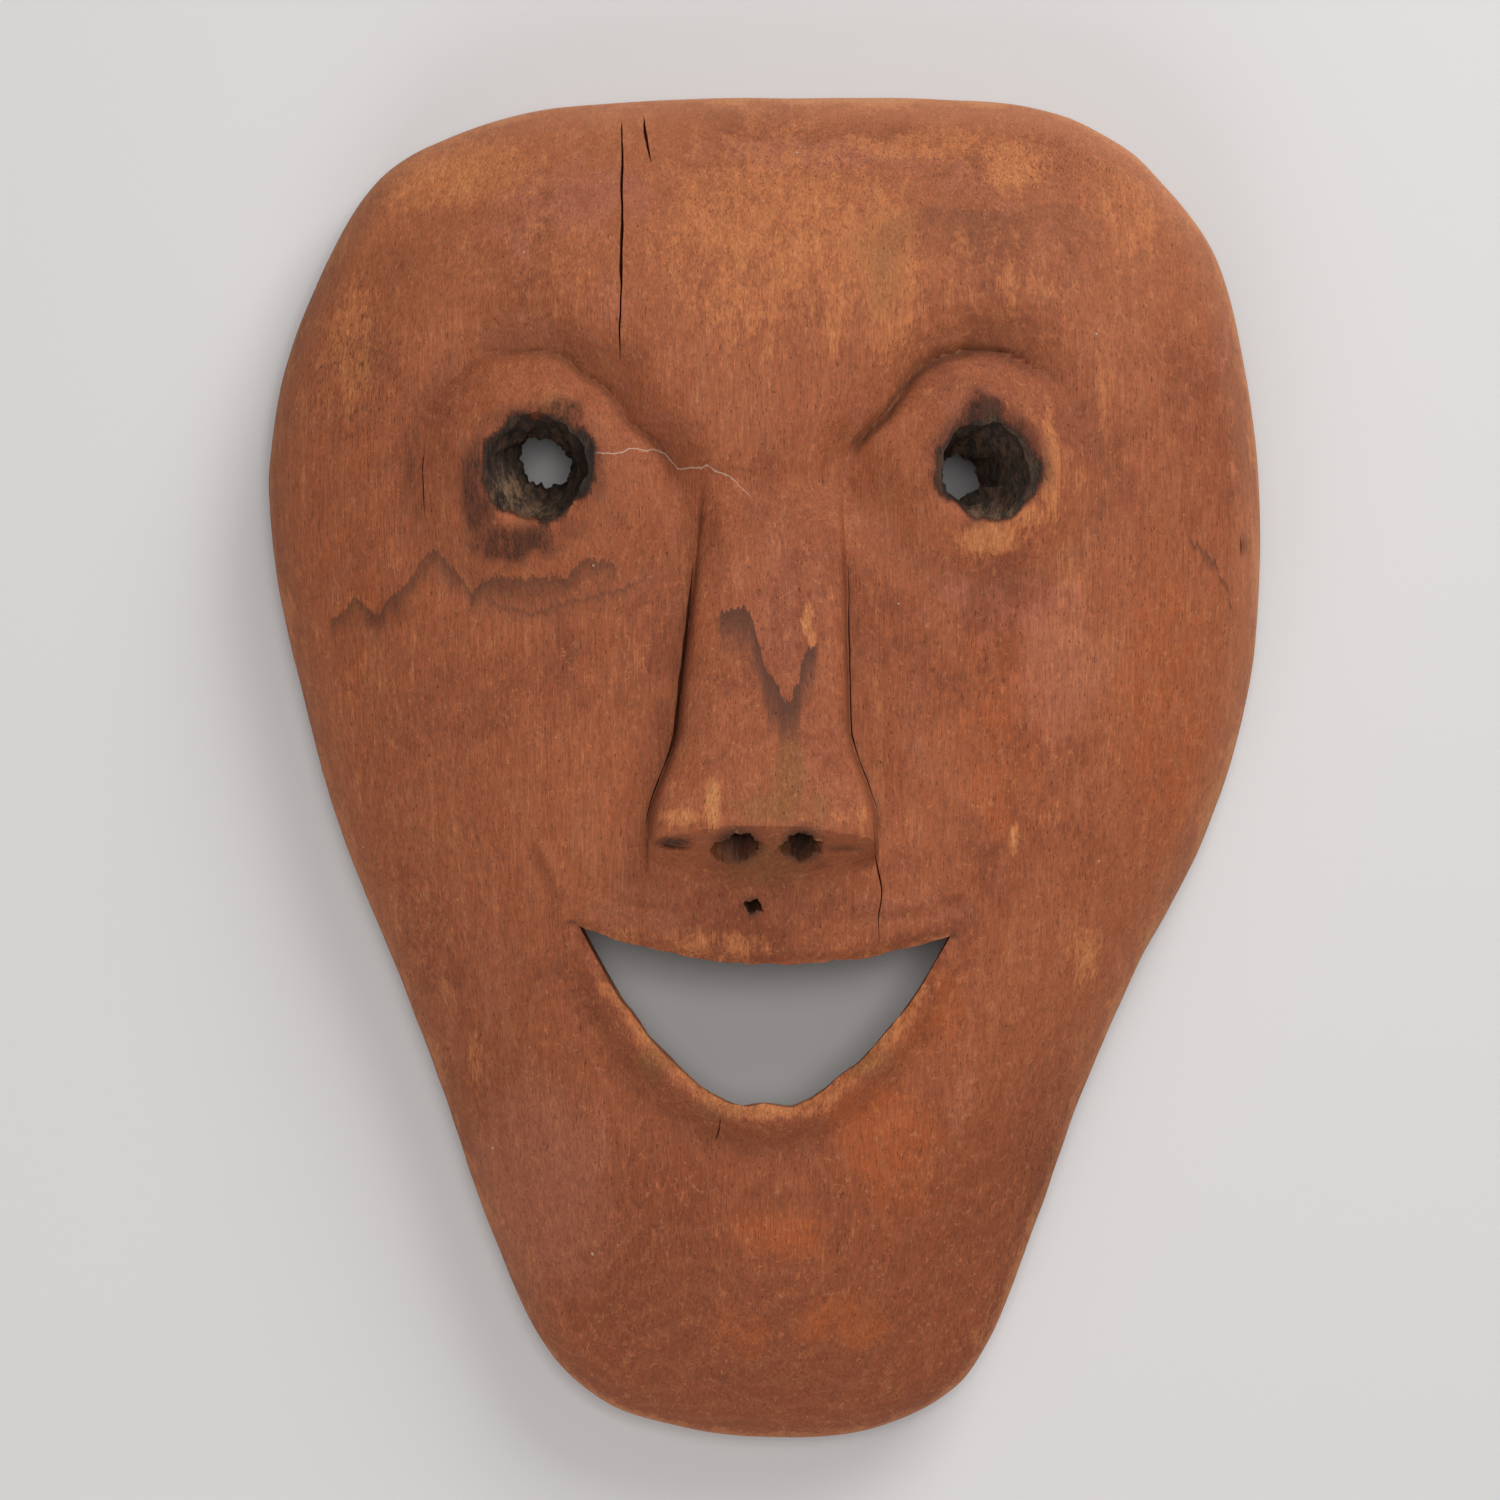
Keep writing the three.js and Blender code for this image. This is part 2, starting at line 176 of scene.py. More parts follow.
# how far outside an eye's crease a point lies, its share of the way to the crease,
# and the angle it stands at in degrees, 0 towards the nose and 90 up
def eyePlace(x, y, eye):
    dx = (x - eye["x"]) * eye["side"]
    dy = y - eye["y"]
    distance = np.hypot(dx, dy)
    angle = np.degrees(np.arctan2(dy, dx))
    turn = angle % 360 / 30
    shape = np.array(eye["shape"], float)
    step = turn.astype(int) % 12
    reach = mix(shape[step], shape[(step + 1) % 12], smooth(turn - np.floor(turn)))
    return distance - reach, distance / reach, angle


# 1 along the upper inner part of an eye's crease, where the knife cut deepest
def upperInner(angle, eye):
    start, fading = eye["crease"]
    return smooth((angle - start) / 14) * (1 - smooth((angle - fading) / 70))


# a swollen eye inside a bell-shaped crease that is deepest towards the brow
def eyeCarving(x, y, eye):
    line, radius, angle = eyePlace(x, y, eye)
    towardsBrow = np.cos(np.radians(angle - 53))
    depth = face["creaseDepth"] * mix(0.22, 1, smooth((towardsBrow + 0.5) / 1.2))
    crease = -depth * bell(line, face["creaseWidth"] * np.where(line > 0, 1, 1.5))
    return crease + face["eyeSwell"] * np.maximum(0, 1 - radius**2)


# half the nose's width at its foot: a straight spread, then an eased flare into the wings
def noseHalf(y):
    down = (nose["rootY"] - y) / (nose["rootY"] - nose["tipY"])
    return mix(nose["rootHalf"], nose["baseHalf"], down) + nose["wingFlare"] * smooth((down - 0.7) / 0.3)


# the nose's middle line drifts a little to the left on its way down
def noseMiddle(y):
    return mix(nose["rootX"], nose["footX"], smooth((nose["rootY"] - y) / 60))


# a wedge: a straight rise from root to tip and a straight drop to the lip; across, a low arch,
# 1 minus the cube of the share, stands on upright sides that share the height with it
def noseCarving(x, y):
    reach = face["noseReach"] - crown(nose["tipY"])
    across = np.abs(x - noseMiddle(y))
    share = across / noseHalf(y)
    tipLine = nose["tipY"] - 3.4 * np.minimum(share, 1) ** 2
    footLine = nose["footY"] + 5 * np.minimum(share, 1) ** 2
    rise = (nose["rootY"] - y) / (nose["rootY"] - nose["tipY"]) * 0.95 + 0.05
    fall = (y - footLine) / (tipLine - footLine)
    upright = mix(0.66, 0.84, smooth((nose["tipY"] + 22 - y) / 22))
    flank = upright * np.maximum(0, 1 - share**50) + (1 - upright) * np.maximum(0, 1 - share**3)
    beside = bell(across - noseHalf(y) - face["creaseWidth"] / 2, face["creaseWidth"])
    length = smooth((y - nose["footY"]) / 20) * smooth((nose["rootY"] - y) / 25)
    fall = (fall + np.hypot(fall, 0.24)) / 2 * smooth(fall + 1.5)
    height = np.clip(np.minimum(rise, fall), 0, 1)
    return reach * height * flank - face["noseFlankDepth"] * beside * length


# the line through the grin's corners, and its two edges: a parabola above and nearly one below
def grinLine(x):
    return grin["y"] + grin["tilt"] * x


def upperLipY(x):
    return grinLine(x) - grin["sag"] * (1 - np.clip(np.abs(x) / grin["half"], 0, 1) ** 2)


def lowerLipY(x):
    return grinLine(x) - grin["drop"] * (1 - np.abs(x / grin["half"]) ** grin["bow"])


# how far outside the grin's lower edge a point lies, square to the edge
def outOfGrin(x, y):
    share = np.minimum(1.3, np.abs(x) / grin["half"])
    slope = grin["bow"] * grin["drop"] * share ** (grin["bow"] - 1) / grin["half"]
    return (lowerLipY(x) - y) / np.hypot(1, slope), share


# a raised rim under the grin, a groove round it and a swelling over the upper lip
def lipCarving(x, y):
    out, share = outOfGrin(x, y)
    fade = 1 - smooth((share - 0.75) / 0.5)
    upper = bell(y - mix(nose["footY"], grin["y"], 0.6), 13) * bell(x, 2 * grin["half"] * 0.48)
    lower = face["lipSwell"] * bell(out - 2, 4) - face["lipGrooveDepth"] * bell(out - 9, 4)
    return fade * lower + face["lipSwell"] * upper


# a round swelling that eases off to nothing at the rim of an ellipse
def chinCarving(x, y):
    radius = np.hypot((x - 2) / (0.36 * halfWidth), (y + 0.76 * halfHeight) / (0.2 * halfHeight))
    return face["chinSwell"] * smooth(1 - radius)


# how far the dome has risen: 0 at the edge of the face's grid and 1 in its middle
def domeShare(u, v):
    return (1 - np.abs(2 * u - 1) ** 2.6) * (1 - np.abs(2 * v - 1) ** 5)


# marks of the knife and the grain, under half a millimetre, and the carver's sharper cuts, each a bell
# across its line: the creases round the eyes, the worn rims of the bores, the brow and the lip
def fineCarving(x, y):
    facets = rough(x, y, 13, 22, 5, 2) - 0.5
    fibres = patchy(x, y, 1.3, 30, 7) - 0.5
    relief = face["toolRipple"] * (1.6 * facets + 0.35 * fibres)
    for eye in eyes:
        line, radius, angle = eyePlace(x, y, eye)
        line = line + 1.2 * (patchy(x, y, 6, 6, eye["seed"]) - 0.5)
        upper = upperInner(angle, eye)
        relief = relief - eye["cut"] * bell(line, 1.15) * upper + 0.9 * bell(line + 3.4, 3) * upper
        hole = np.hypot(x - eye["x"], y - eye["y"]) - eye["front"]
        wear = 0.6 + patchy(x, y, 4, 4, eye["seed"] + 9)
        relief = relief - face["boreWear"] * bell(hole, 1.6) * wear
    # the brow's lower edge, from eye to eye over the nose's root
    path = [(-22, 66), (-18.5, 59.5), (-3, 58.3), (7, 57.7), (15.5, 57), (19.4, 64.3)]
    browEdge = alongPath(path, 40)[0]
    relief = relief - face["browCut"] * bell(distanceTo(browEdge, x, y, 16), 5)
    # the line over the upper lip: a small step down towards the mouth
    for path in ([(-47, -17), (-42.8, -25.5), (-30, -29.4), (-13.5, -30.7)],
                 [(20.1, -29.7), (32, -28.4), (41.1, -25.5), (46.4, -17.1)]):
        step = distanceTo(alongPath(path, 30)[0], x, y, 8)
        relief = relief + face["lipStep"] * bell(step, 1.5) - 0.3 * bell(step - 3.0, 1.6)
    return relief


# points spread evenly along straight stretches, and how far along each lies
def alongPath(path, count=None):
    path = np.array(path, float)
    length = np.concatenate([[0], np.cumsum(np.linalg.norm(np.diff(path, axis=0), axis=1))])
    s = np.linspace(0, length[-1], count or max(12, int(length[-1] / 1.2)))
    return np.column_stack([np.interp(s, length, path[:, k]) for k in (0, 1)]), s


# how far a point of the plane lies from the nearest of a line's points, up to the reach given
def distanceTo(points, x, y, reach):
    near = np.full(x.shape, float(reach))
    low = points.min(0) - reach
    high = points.max(0) + reach
    close = (x > low[0]) & (x < high[0]) & (y > low[1]) & (y < high[1])
    cx = x[close]
    cy = y[close]
    best = np.full(cx.shape, float(reach))
    for px, py in points:
        best = np.minimum(best, np.hypot(cx - px, cy - py))
    near[close] = best
    return near


# steps lie closer in the middle of the face
def crowd(s, amount):
    return s + amount * np.sin(2 * np.pi * s) / (2 * np.pi)


# the outline as a closed Catmull-Rom curve: a cubic between each two points, by their neighbours
def outlineCurve():
    points = outlineShares * (halfWidth, halfHeight)
    before, after, second = (np.roll(points, k, 0)[:, None] for k in (1, -1, -2))
    here = points[:, None]
    t = (np.arange(fineness["outlineSamples"]) / fineness["outlineSamples"])[None, :, None]
    curve = 2 * here + (after - before) * t + (2 * before - 5 * here + 4 * after - second) * t**2
    curve = curve + (3 * here - before - 3 * after + second) * t**3
    return curve.reshape(-1, 2) / 2


# the ring's nodes and their inward directions: shares of x along the top and bottom, of y at the sides
def outlineRing(acrossCount, alongCount):
    curve = outlineCurve()
    heading = np.roll(curve, -2, 0) - np.roll(curve, 2, 0)
    heading /= np.linalg.norm(heading, axis=1)[:, None]
    inward = np.stack([heading[:, 1], -heading[:, 0]], 1)
    starts = [k * fineness["outlineSamples"] for k in cornerPoints] + [len(curve)]
    places = []
    inwards = []
    for side in range(4):
        picks = np.arange(starts[side], starts[side + 1] + 1) % len(curve)
        count = alongCount if side % 2 else acrossCount
        amount = fineness["alongCrowding"] if side % 2 else fineness["acrossCrowding"]
        key = curve[picks, side % 2]
        way = np.sign(key[-1] - key[0])
        target = mix(key[0], key[-1], crowd(np.arange(count) / count, amount))
        index = np.interp(target * way, key * way, np.arange(len(picks)))
        for source, result in ((curve[picks], places), (inward[picks], inwards)):
            columns = [np.interp(index, np.arange(len(picks)), source[:, axis]) for axis in (0, 1)]
            result.append(np.stack(columns, 1))
    return np.concatenate(places), np.concatenate(inwards)


# a four-sided patch over a closed ring: the four sides blended, then evened out from cell to cell
def patchOver(ring, acrossCount, alongCount):
    n = acrossCount
    m = alongCount
    u = crowd(np.arange(n + 1) / n, fineness["acrossCrowding"])[None, :, None]
    v = crowd(np.arange(m + 1) / m, fineness["alongCrowding"])[:, None, None]
    top = ring[0:n + 1][None]
    right = ring[n:n + m + 1][::-1][:, None]
    bottom = ring[n + m:2 * n + m + 1][::-1][None]
    left = np.concatenate([ring[2 * n + m:], ring[:1]])[:, None]
    grid = (1 - v) * bottom + v * top + (1 - u) * left + u * right
    grid = grid - (1 - u) * (1 - v) * bottom[:, :1] - u * (1 - v) * bottom[:, -1:]
    grid = grid - (1 - u) * v * top[:, :1] - u * v * top[:, -1:]
    for _ in range(fineness["relaxRounds"]):
        middle = grid[:-2, 1:-1] + grid[2:, 1:-1] + grid[1:-1, :-2] + grid[1:-1, 2:]
        grid[1:-1, 1:-1] = middle / 4
    return grid[..., 0], grid[..., 1], u[..., 0] + 0 * v[..., 0], v[..., 0] + 0 * u[..., 0]


# the indices round a patch's edge, clockwise from the top left, as in outlineRing
def edgeOf(grid):
    top = grid[-1, :-1]
    right = grid[1:, -1][::-1]
    bottom = grid[0, 1:][::-1]
    left = grid[:-1, 0]
    return np.concatenate([top, right, bottom, left])


# two triangles for each cell, cut towards the patch's nearest corner
def patchFaces(grid, facesUp):
    cells = np.stack([grid[:-1, :-1], grid[:-1, 1:], grid[1:, 1:], grid[1:, :-1]], -1)
    rows, columns = np.indices(cells.shape[:2])
    turned = (rows < grid.shape[0] / 2) != (columns < grid.shape[1] / 2)
    cells = np.where(turned[..., None], np.roll(cells, -1, -1), cells).reshape(-1, 4)
    pairs = cells[:, [0, 1, 2, 0, 2, 3]] if facesUp else cells[:, [0, 2, 1, 0, 3, 2]]
    return pairs.reshape(-1, 3)


# two triangles for each step between two closed rings, looking outwards where the lower one comes second
def bandFaces(upper, lower):
    upperNext = np.roll(upper, -1)
    lowerNext = np.roll(lower, -1)
    pairs = np.stack([upper, upperNext, lowerNext, upper, lowerNext, lower], -1)
    return pairs.reshape(-1, 3)


# a piece from points in millimetres and their triangles, with its origin in the frame's
def meshObject(name, points, triangles):
    mesh = bpy.data.meshes.new(name)
    mesh.vertices.add(len(points))
    mesh.vertices.foreach_set("co", (points * mm).astype(np.float32).ravel())
    mesh.loops.add(3 * len(triangles))
    mesh.loops.foreach_set("vertex_index", triangles.astype(np.int32).ravel())
    mesh.polygons.add(len(triangles))
    mesh.polygons.foreach_set("loop_start", np.arange(0, 3 * len(triangles), 3, dtype=np.int32))
    mesh.update(calc_edges=True)
    mesh.validate()
    piece = bpy.data.objects.new(name, mesh)
    bpy.context.scene.collection.objects.link(piece)
    return piece


# the uncut block: face patch, rounded side, flat rim and a hollow at half the fineness
def carvedBlank():
    n = fineness["across"]
    m = fineness["along"]
    places, inwards = outlineRing(n, m)
    angle = np.arctan2(places[:, 1], places[:, 0])
    knife = face["toolRipple"] * (rough(angle * 100, 0 * angle, 9, 9, 31, 2) - 0.5)

    def ringAt(inset, z, wobble=0.0):
        ring = places + inwards * (inset + wobble * knife)[:, None]
        return np.column_stack([ring, np.broadcast_to(z, len(ring))])

    x, y, u, v = patchOver(places + inwards * face["edgeRounding"], n, m)
    # the grid's columns are drawn together where the nose's sides rise
    off = np.abs(x - noseMiddle(y)) / noseHalf(y) - 1
    along = smooth((y - nose["footY"] + 6) / 6) * smooth((nose["rootY"] + 6 - y) / 12)
    x = x - np.sign(x - noseMiddle(y)) * noseHalf(y) * 0.66 * off * bell(off, 0.16) * along
    share = domeShare(u, v)
    carving = noseCarving(x, y) + lipCarving(x, y) + chinCarving(x, y)
    carving = carving + sum(eyeCarving(x, y, eye) for eye in eyes)
    z = mix(face["edgeHeight"], crown(y), share) + carving * smooth(5 * share) + fineCarving(x, y)
    grinEdge = grinOutline(160)
    ragged = 0.6 + 0.9 * rough(x, y, 3, 3, 53, 2)
    z = z - grin["edgeWear"] * ragged * bell(distanceTo(grinEdge, x, y, 6), 1.6)
    print("face patch worked out")

    points = [np.column_stack([x.ravel(), y.ravel(), z.ravel()])]
    faceGrid = np.arange(x.size).reshape(x.shape)
    triangles = [patchFaces(faceGrid, True)]
    total = x.size
    upper = edgeOf(faceGrid)

    edgeZ = z.ravel()[upper]
    over = face["edgeHeight"] - face["girthHeight"]
    # inset and height of each ring down the rounded side, past the girth and on to the flat rim
    profile = [(face["edgeRounding"] * q**2.3, q) for q in (0.84, 0.66, 0.46, 0.24)]
    lift = edgeZ - face["edgeHeight"]
    levels = [(inset, face["girthHeight"] + q * (over + lift * q)) for inset, q in profile]
    levels += [(0.0, face["girthHeight"]), (0.5, 5.5), (face["rimSetback"] - 0.4, 0.9)]
    levels += [(face["rimSetback"] + 0.3, 0.0)]
    for inset, height in levels:
        ring = ringAt(np.full(len(places), inset), height, 1.0 if inset < face["rimSetback"] else 0.0)
        lower = np.arange(total, total + len(ring))
        points.append(ring)
        triangles.append(bandFaces(upper, lower))
        total += len(ring)
        upper = lower

    innerRing = (places + inwards * (face["rimSetback"] + face["rimWidth"]))[::2]
    hx, hy, hu, hv = patchOver(innerRing, n // 2, m // 2)
    gap = distanceTo(innerRing, hx, hy, face["hollowRounding"])
    rounded = 1 - (1 - gap / face["hollowRounding"]) ** 2
    hz = (mix(face["edgeHeight"], crown(hy), domeShare(hu, hv)) - face["wall"]) * rounded
    scallop = np.abs(np.sin(hx / 3.4 + 2.2 * patchy(hx, hy, 40, 30, 41)))
    strokes = np.abs(np.sin(hy / 9 + 5 * patchy(hx, hy, 7, 60, 43)))
    hz = hz - (0.45 * scallop + 0.35 * strokes) * smooth((gap - 2) / 10)
    hollowGrid = np.arange(hx.size).reshape(hx.shape) + total
    inner = edgeOf(hollowGrid)
    hollow = np.column_stack([hx.ravel(), hy.ravel(), hz.ravel()])
    hollow[inner - total, 2] = 0
    points.append(hollow)
    triangles.append(patchFaces(hollowGrid, False))

    # the flat rim has two outer steps to one inner step
    a, b, c = upper[0::2], upper[1::2], np.roll(upper[0::2], -1)
    innerNext = np.roll(inner, -1)
    rim = np.stack([a, b, inner, b, innerNext, inner, b, c, innerNext], -1)
    triangles.append(rim.reshape(-1, 3))
    blank = meshObject("carved_mask", np.concatenate(points), np.concatenate(triangles))
    return blank, points[0]


# the grin's outline: along the upper lip and back along the lower one, with a knife's small slips
def grinOutline(steps):
    x = np.linspace(-grin["half"], grin["half"], steps // 2 + 1)
    slip = 0.5 * (patchy(x, 0 * x, 7, 7, 51) - 0.5) * (1 - (x / grin["half"]) ** 6)
    upper = np.column_stack([x, upperLipY(x) + slip])
    back = x[::-1][1:-1]
    slipBack = 2.3 * (rough(back, 0 * back, 8, 8, 52, 3) - 0.5) * (1 - (back / grin["half"]) ** 6)
    lower = np.column_stack([back, lowerLipY(back) + slipBack])
    return np.concatenate([upper, lower])


# a closed body from rings of points, each end closed round its middle, turned to face outwards
def loft(name, rings):
    sections, sides = rings.shape[:2]
    points = np.concatenate([rings.reshape(-1, 3), rings[0].mean(0)[None], rings[-1].mean(0)[None]])
    grid = np.arange(sections * sides).reshape(sections, sides)
    triangles = [bandFaces(grid[k], grid[k + 1]) for k in range(sections - 1)]
    first = np.stack([grid[0], np.full(sides, sections * sides), np.roll(grid[0], -1)], -1)
    last = np.stack([grid[-1], np.roll(grid[-1], -1), np.full(sides, sections * sides + 1)], -1)
    triangles = np.concatenate(triangles + [first, last])
    a, b, c = (points[triangles[:, k]] for k in range(3))
    if (a * np.cross(b, c)).sum() < 0:
        triangles = triangles[:, ::-1]
    return meshObject(name, points, triangles)


# the mouth's cutter: the grin's outline at several heights, undercut a little below and on the right
def mouthCutter():
    outline = grinOutline(200)
    levels = np.array([8.0, 26, 31, 36, 41, 46, 52, 75])
    rings = []
    for k, z in enumerate(levels):
        down = np.clip((grin["y"] - grin["sag"] - outline[:, 1]) / (grin["drop"] - grin["sag"]), 0, 1)
        sunk = (1 - min(z, 50) / face["chinHeight"]) * face["chinHeight"] / face["wall"]
        saw = grin["sawMarks"] * (rough(outline[:, 0], 0 * outline[:, 0] + 2 * k, 2.5, 2.5, 61, 2) - 0.5)
        under = grin["undercut"] * max(48 - z, 0) * smooth(outline[:, 0] / 25)
        lean = grin["bevel"] * down * sunk
        ring = np.column_stack([outline[:, 0] + under, outline[:, 1] + lean + saw])
        rings.append(np.insert(ring, 2, z, axis=1))
    return loft("cut_mouth", np.array(rings))


# a burnt bore: rings whose radius opens from the narrow back to the face, ragged with char
def eyeCutter(eye):
    front = float(crown(np.array(eye["y"]))) - 2
    narrow = front - 12
    coarse = np.linspace(narrow - 22, narrow - 4, 4)
    fine = np.linspace(narrow - 3, front + 3, 14)
    levels = np.concatenate([coarse, fine, [front + 13]])
    angle = np.linspace(0, 2 * np.pi, 96, endpoint=False)
    rings = []
    for z in levels:
        share = smooth((z - narrow) / (front - narrow))
        radius = mix(eye["back"], eye["front"], share)
        char = rough(angle * 8, 0 * angle + z * 1.5, 4.5, 4.0, eye["seed"], 2) - 0.5
        splinters = rough(angle * 8, 0 * angle + z * 0.7, 1.6, 2.5, eye["seed"] + 3, 2) - 0.5
        char = char * mix(4.8, 2.2, share) + splinters * mix(1.5, 1.9, share)
        seam = smooth(np.minimum(angle, 2 * np.pi - angle) / 0.3)
        depth = np.clip(z, narrow - 6.5, front) - front
        x = eye["x"] + eye["lean"][0] * depth + (radius + char * seam) * np.cos(angle)
        y = eye["y"] + eye["lean"][1] * depth + (radius + char * seam) * np.sin(angle) * 1.03
        rings.append(np.column_stack([x, y, np.full(len(angle), z)]))
    return loft("cut_eye", np.array(rings))


# a blind ragged pit square to the nose's underside
def pitCutter(name, x, along, radiusX, radiusUp, depth, seed):
    slope = math.atan2(face["noseReach"] - float(crown(nose["footY"])), nose["tipY"] - nose["footY"])
    middle = np.array([x, mix(nose["tipY"], nose["footY"], along),
                       mix(face["noseReach"], float(crown(nose["footY"])), along)])
    outward = np.array([0, -math.sin(slope), math.cos(slope)])
    upward = np.array([0, math.cos(slope), math.sin(slope)])
    angle = np.linspace(0, 2 * np.pi, 48, endpoint=False)
    rings = []
    inner = [(-depth, 0.3), (-0.75 * depth, 0.7), (-0.4 * depth, 0.9)]
    for out, size in inner + [(0, 1.0), (1.2, 1.12), (5, 1.2)]:
        ragged = size * (1 + 1.3 * (rough(np.cos(angle) * 9, np.sin(angle) * 9 + out, 4, 4, seed, 3) - 0.5))
        ring = middle + np.outer(radiusX * ragged * np.cos(angle), (1, 0, 0))
        ring = ring + np.outer(radiusUp * ragged * np.sin(angle), upward) + out * outward
        rings.append(ring)
    return loft(name, np.array(rings))


# a square hole where a nail was, slanting and narrowing as it goes in: half is the square's half width
def nailCutter(surface):
    x, y = -0.022 * halfWidth, -0.198 * halfHeight
    top = nearestHeight(surface, np.array([(x, y)]))[0]
    turn = np.radians(14 + np.arange(16) * 22.5)
    half = 1.35 / np.maximum(np.abs(np.cos(turn - 0.25)), np.abs(np.sin(turn - 0.25)))
    half = half * (0.7 + 0.75 * patchy(turn * 3, 0 * turn, 1, 1, 79))
    rings = []
    for down, size in ((-3, 1.1), (0.3, 1.0), (2.5, 0.9), (5, 0.75), (22, 0.6)):
        slant = 0.3 * max(down, 0)
        ringX = x + size * half * np.cos(turn)
        ringY = y + slant + size * half * np.sin(turn)
        rings.append(np.column_stack([ringX, ringY, np.full(16, top - down)]))
    return loft("cut_nail", np.array(rings))


# a crack: a thin V of a profile, closed by a lid, carried along a wandering path at the surface
def crackCutter(surface, name, path, width, depth, seed, wander):
    line, s = alongPath(path)
    heading = np.gradient(line, axis=0)
    heading /= np.linalg.norm(heading, axis=1)[:, None]
    side = np.stack([-heading[:, 1], heading[:, 0]], 1)
    line = line + side * (wander * (rough(s, 0 * s, 6, 6, seed) - 0.5) * 2)[:, None]
    taper = np.sin(np.pi * np.clip(s / s[-1], 0.02, 0.98)) ** 0.6
    half = width / 2 * taper * (0.6 + 0.8 * patchy(s, 0 * s, 4, 4, seed + 5))
    top = nearestHeight(surface, line)
    rings = []
    for across, up in ((-1, 0.0), (0, -1.0), (1, 0.0), (0.9, 0.35), (-0.9, 0.35)):
        z = top + np.where(up < 0, up * depth * taper, up * 4)
        rings.append(np.column_stack([line + side * (across * half)[:, None], z]))
    return loft(name, np.array(rings).transpose(1, 0, 2))


# the crease beside the nose between two heights, left (-1) or right (1)
def besideNose(side, high, low):
    y = np.linspace(high, low, 12)
    return np.column_stack([noseMiddle(y) + side * (noseHalf(y) + 0.5), y])


# the height of the uncut face at the point nearest to each of a line's points
def nearestHeight(surface, line):
    return np.array([surface[np.argmin(((surface[:, :2] - p) ** 2).sum(1)), 2] for p in line])


# all the cutters taken out of the blank in one cut, and then removed
def cutAway(blank, cutters):
    tools = bpy.data.collections.new("cutters")
    for cutter in cutters:
        bpy.context.scene.collection.objects.unlink(cutter)
        tools.objects.link(cutter)
    modifier = blank.modifiers.new("cuts", "BOOLEAN")
    modifier.operation = "DIFFERENCE"
    modifier.operand_type = "COLLECTION"
    modifier.collection = tools
    modifier.solver = "MANIFOLD"
    bpy.context.view_layer.update()
    graph = bpy.context.evaluated_depsgraph_get()
    cut = bpy.data.meshes.new_from_object(blank.evaluated_get(graph))
    blank.modifiers.clear()
    old = blank.data
    blank.data = cut
    cut.name = "carved_mask"
    bpy.data.meshes.remove(old)
    for cutter in cutters:
        mesh = cutter.data
        bpy.data.objects.remove(cutter)
        bpy.data.meshes.remove(mesh)
    bpy.data.collections.remove(tools)


mask, surface = carvedBlank()

# the two nostrils and the notch beside them: x, share of the way down the nose's underside, half width,
# half height, depth and seed
pits = [("cut_nostril", -5.8, 0.36, 4.3, 4.8, 10.0, 71), ("cut_nostril", 7.7, 0.34, 3.7, 4.4, 11.0, 74),
        ("cut_notch", -19.0, 0.4, 3.0, 1.5, 2.4, 77)]

# drying cracks and sharp creases: path, width, depth, seed, wander
cracks = [
    ("cut_crack", [(-30.6, 141), (-30.1, 118), (-30.0, 100), (-30.4, 86)], 0.7, 6, 81, 0.25),
    ("cut_crack", [(-25.8, 143), (-25.4, 137), (-24.0, 129)], 0.65, 4, 83, 0.35),
    ("cut_crease", besideNose(-1, 42, -1), 0.85, 2.4, 85, 0.1),
    ("cut_crease", besideNose(-1, 1, -12), 0.3, 2.0, 87, 0.15),
    ("cut_crease", besideNose(1, 42, -13), 0.3, 1.8, 89, 0.15),
    ("cut_crease", [(22.2, -10), (23.2, -18), (24.6, -25), (23.8, -31), (24.0, -37)], 0.34, 2.0, 91, 0.3),
    ("cut_crack", [(102.4, 50.8), (102.6, 44.2)], 0.7, 2.5, 95, 0.1),
    ("cut_crack", [(-9.2, -73.5), (-9.6, -76), (-10.4, -78.6)], 0.35, 1.5, 93, 0.2),
    ("cut_crease", [(-71.4, 70), (-72.2, 64), (-72.2, 58), (-71.8, 53)], 0.3, 0.9, 97, 0.3),
]
cutters = [mouthCutter()] + [eyeCutter(eye) for eye in eyes] + [pitCutter(*pit) for pit in pits]
cutters += [nailCutter(surface)] + [crackCutter(surface, *crack) for crack in cracks]
cutAway(mask, cutters)
print("cuts made:", len(mask.data.polygons), "faces")


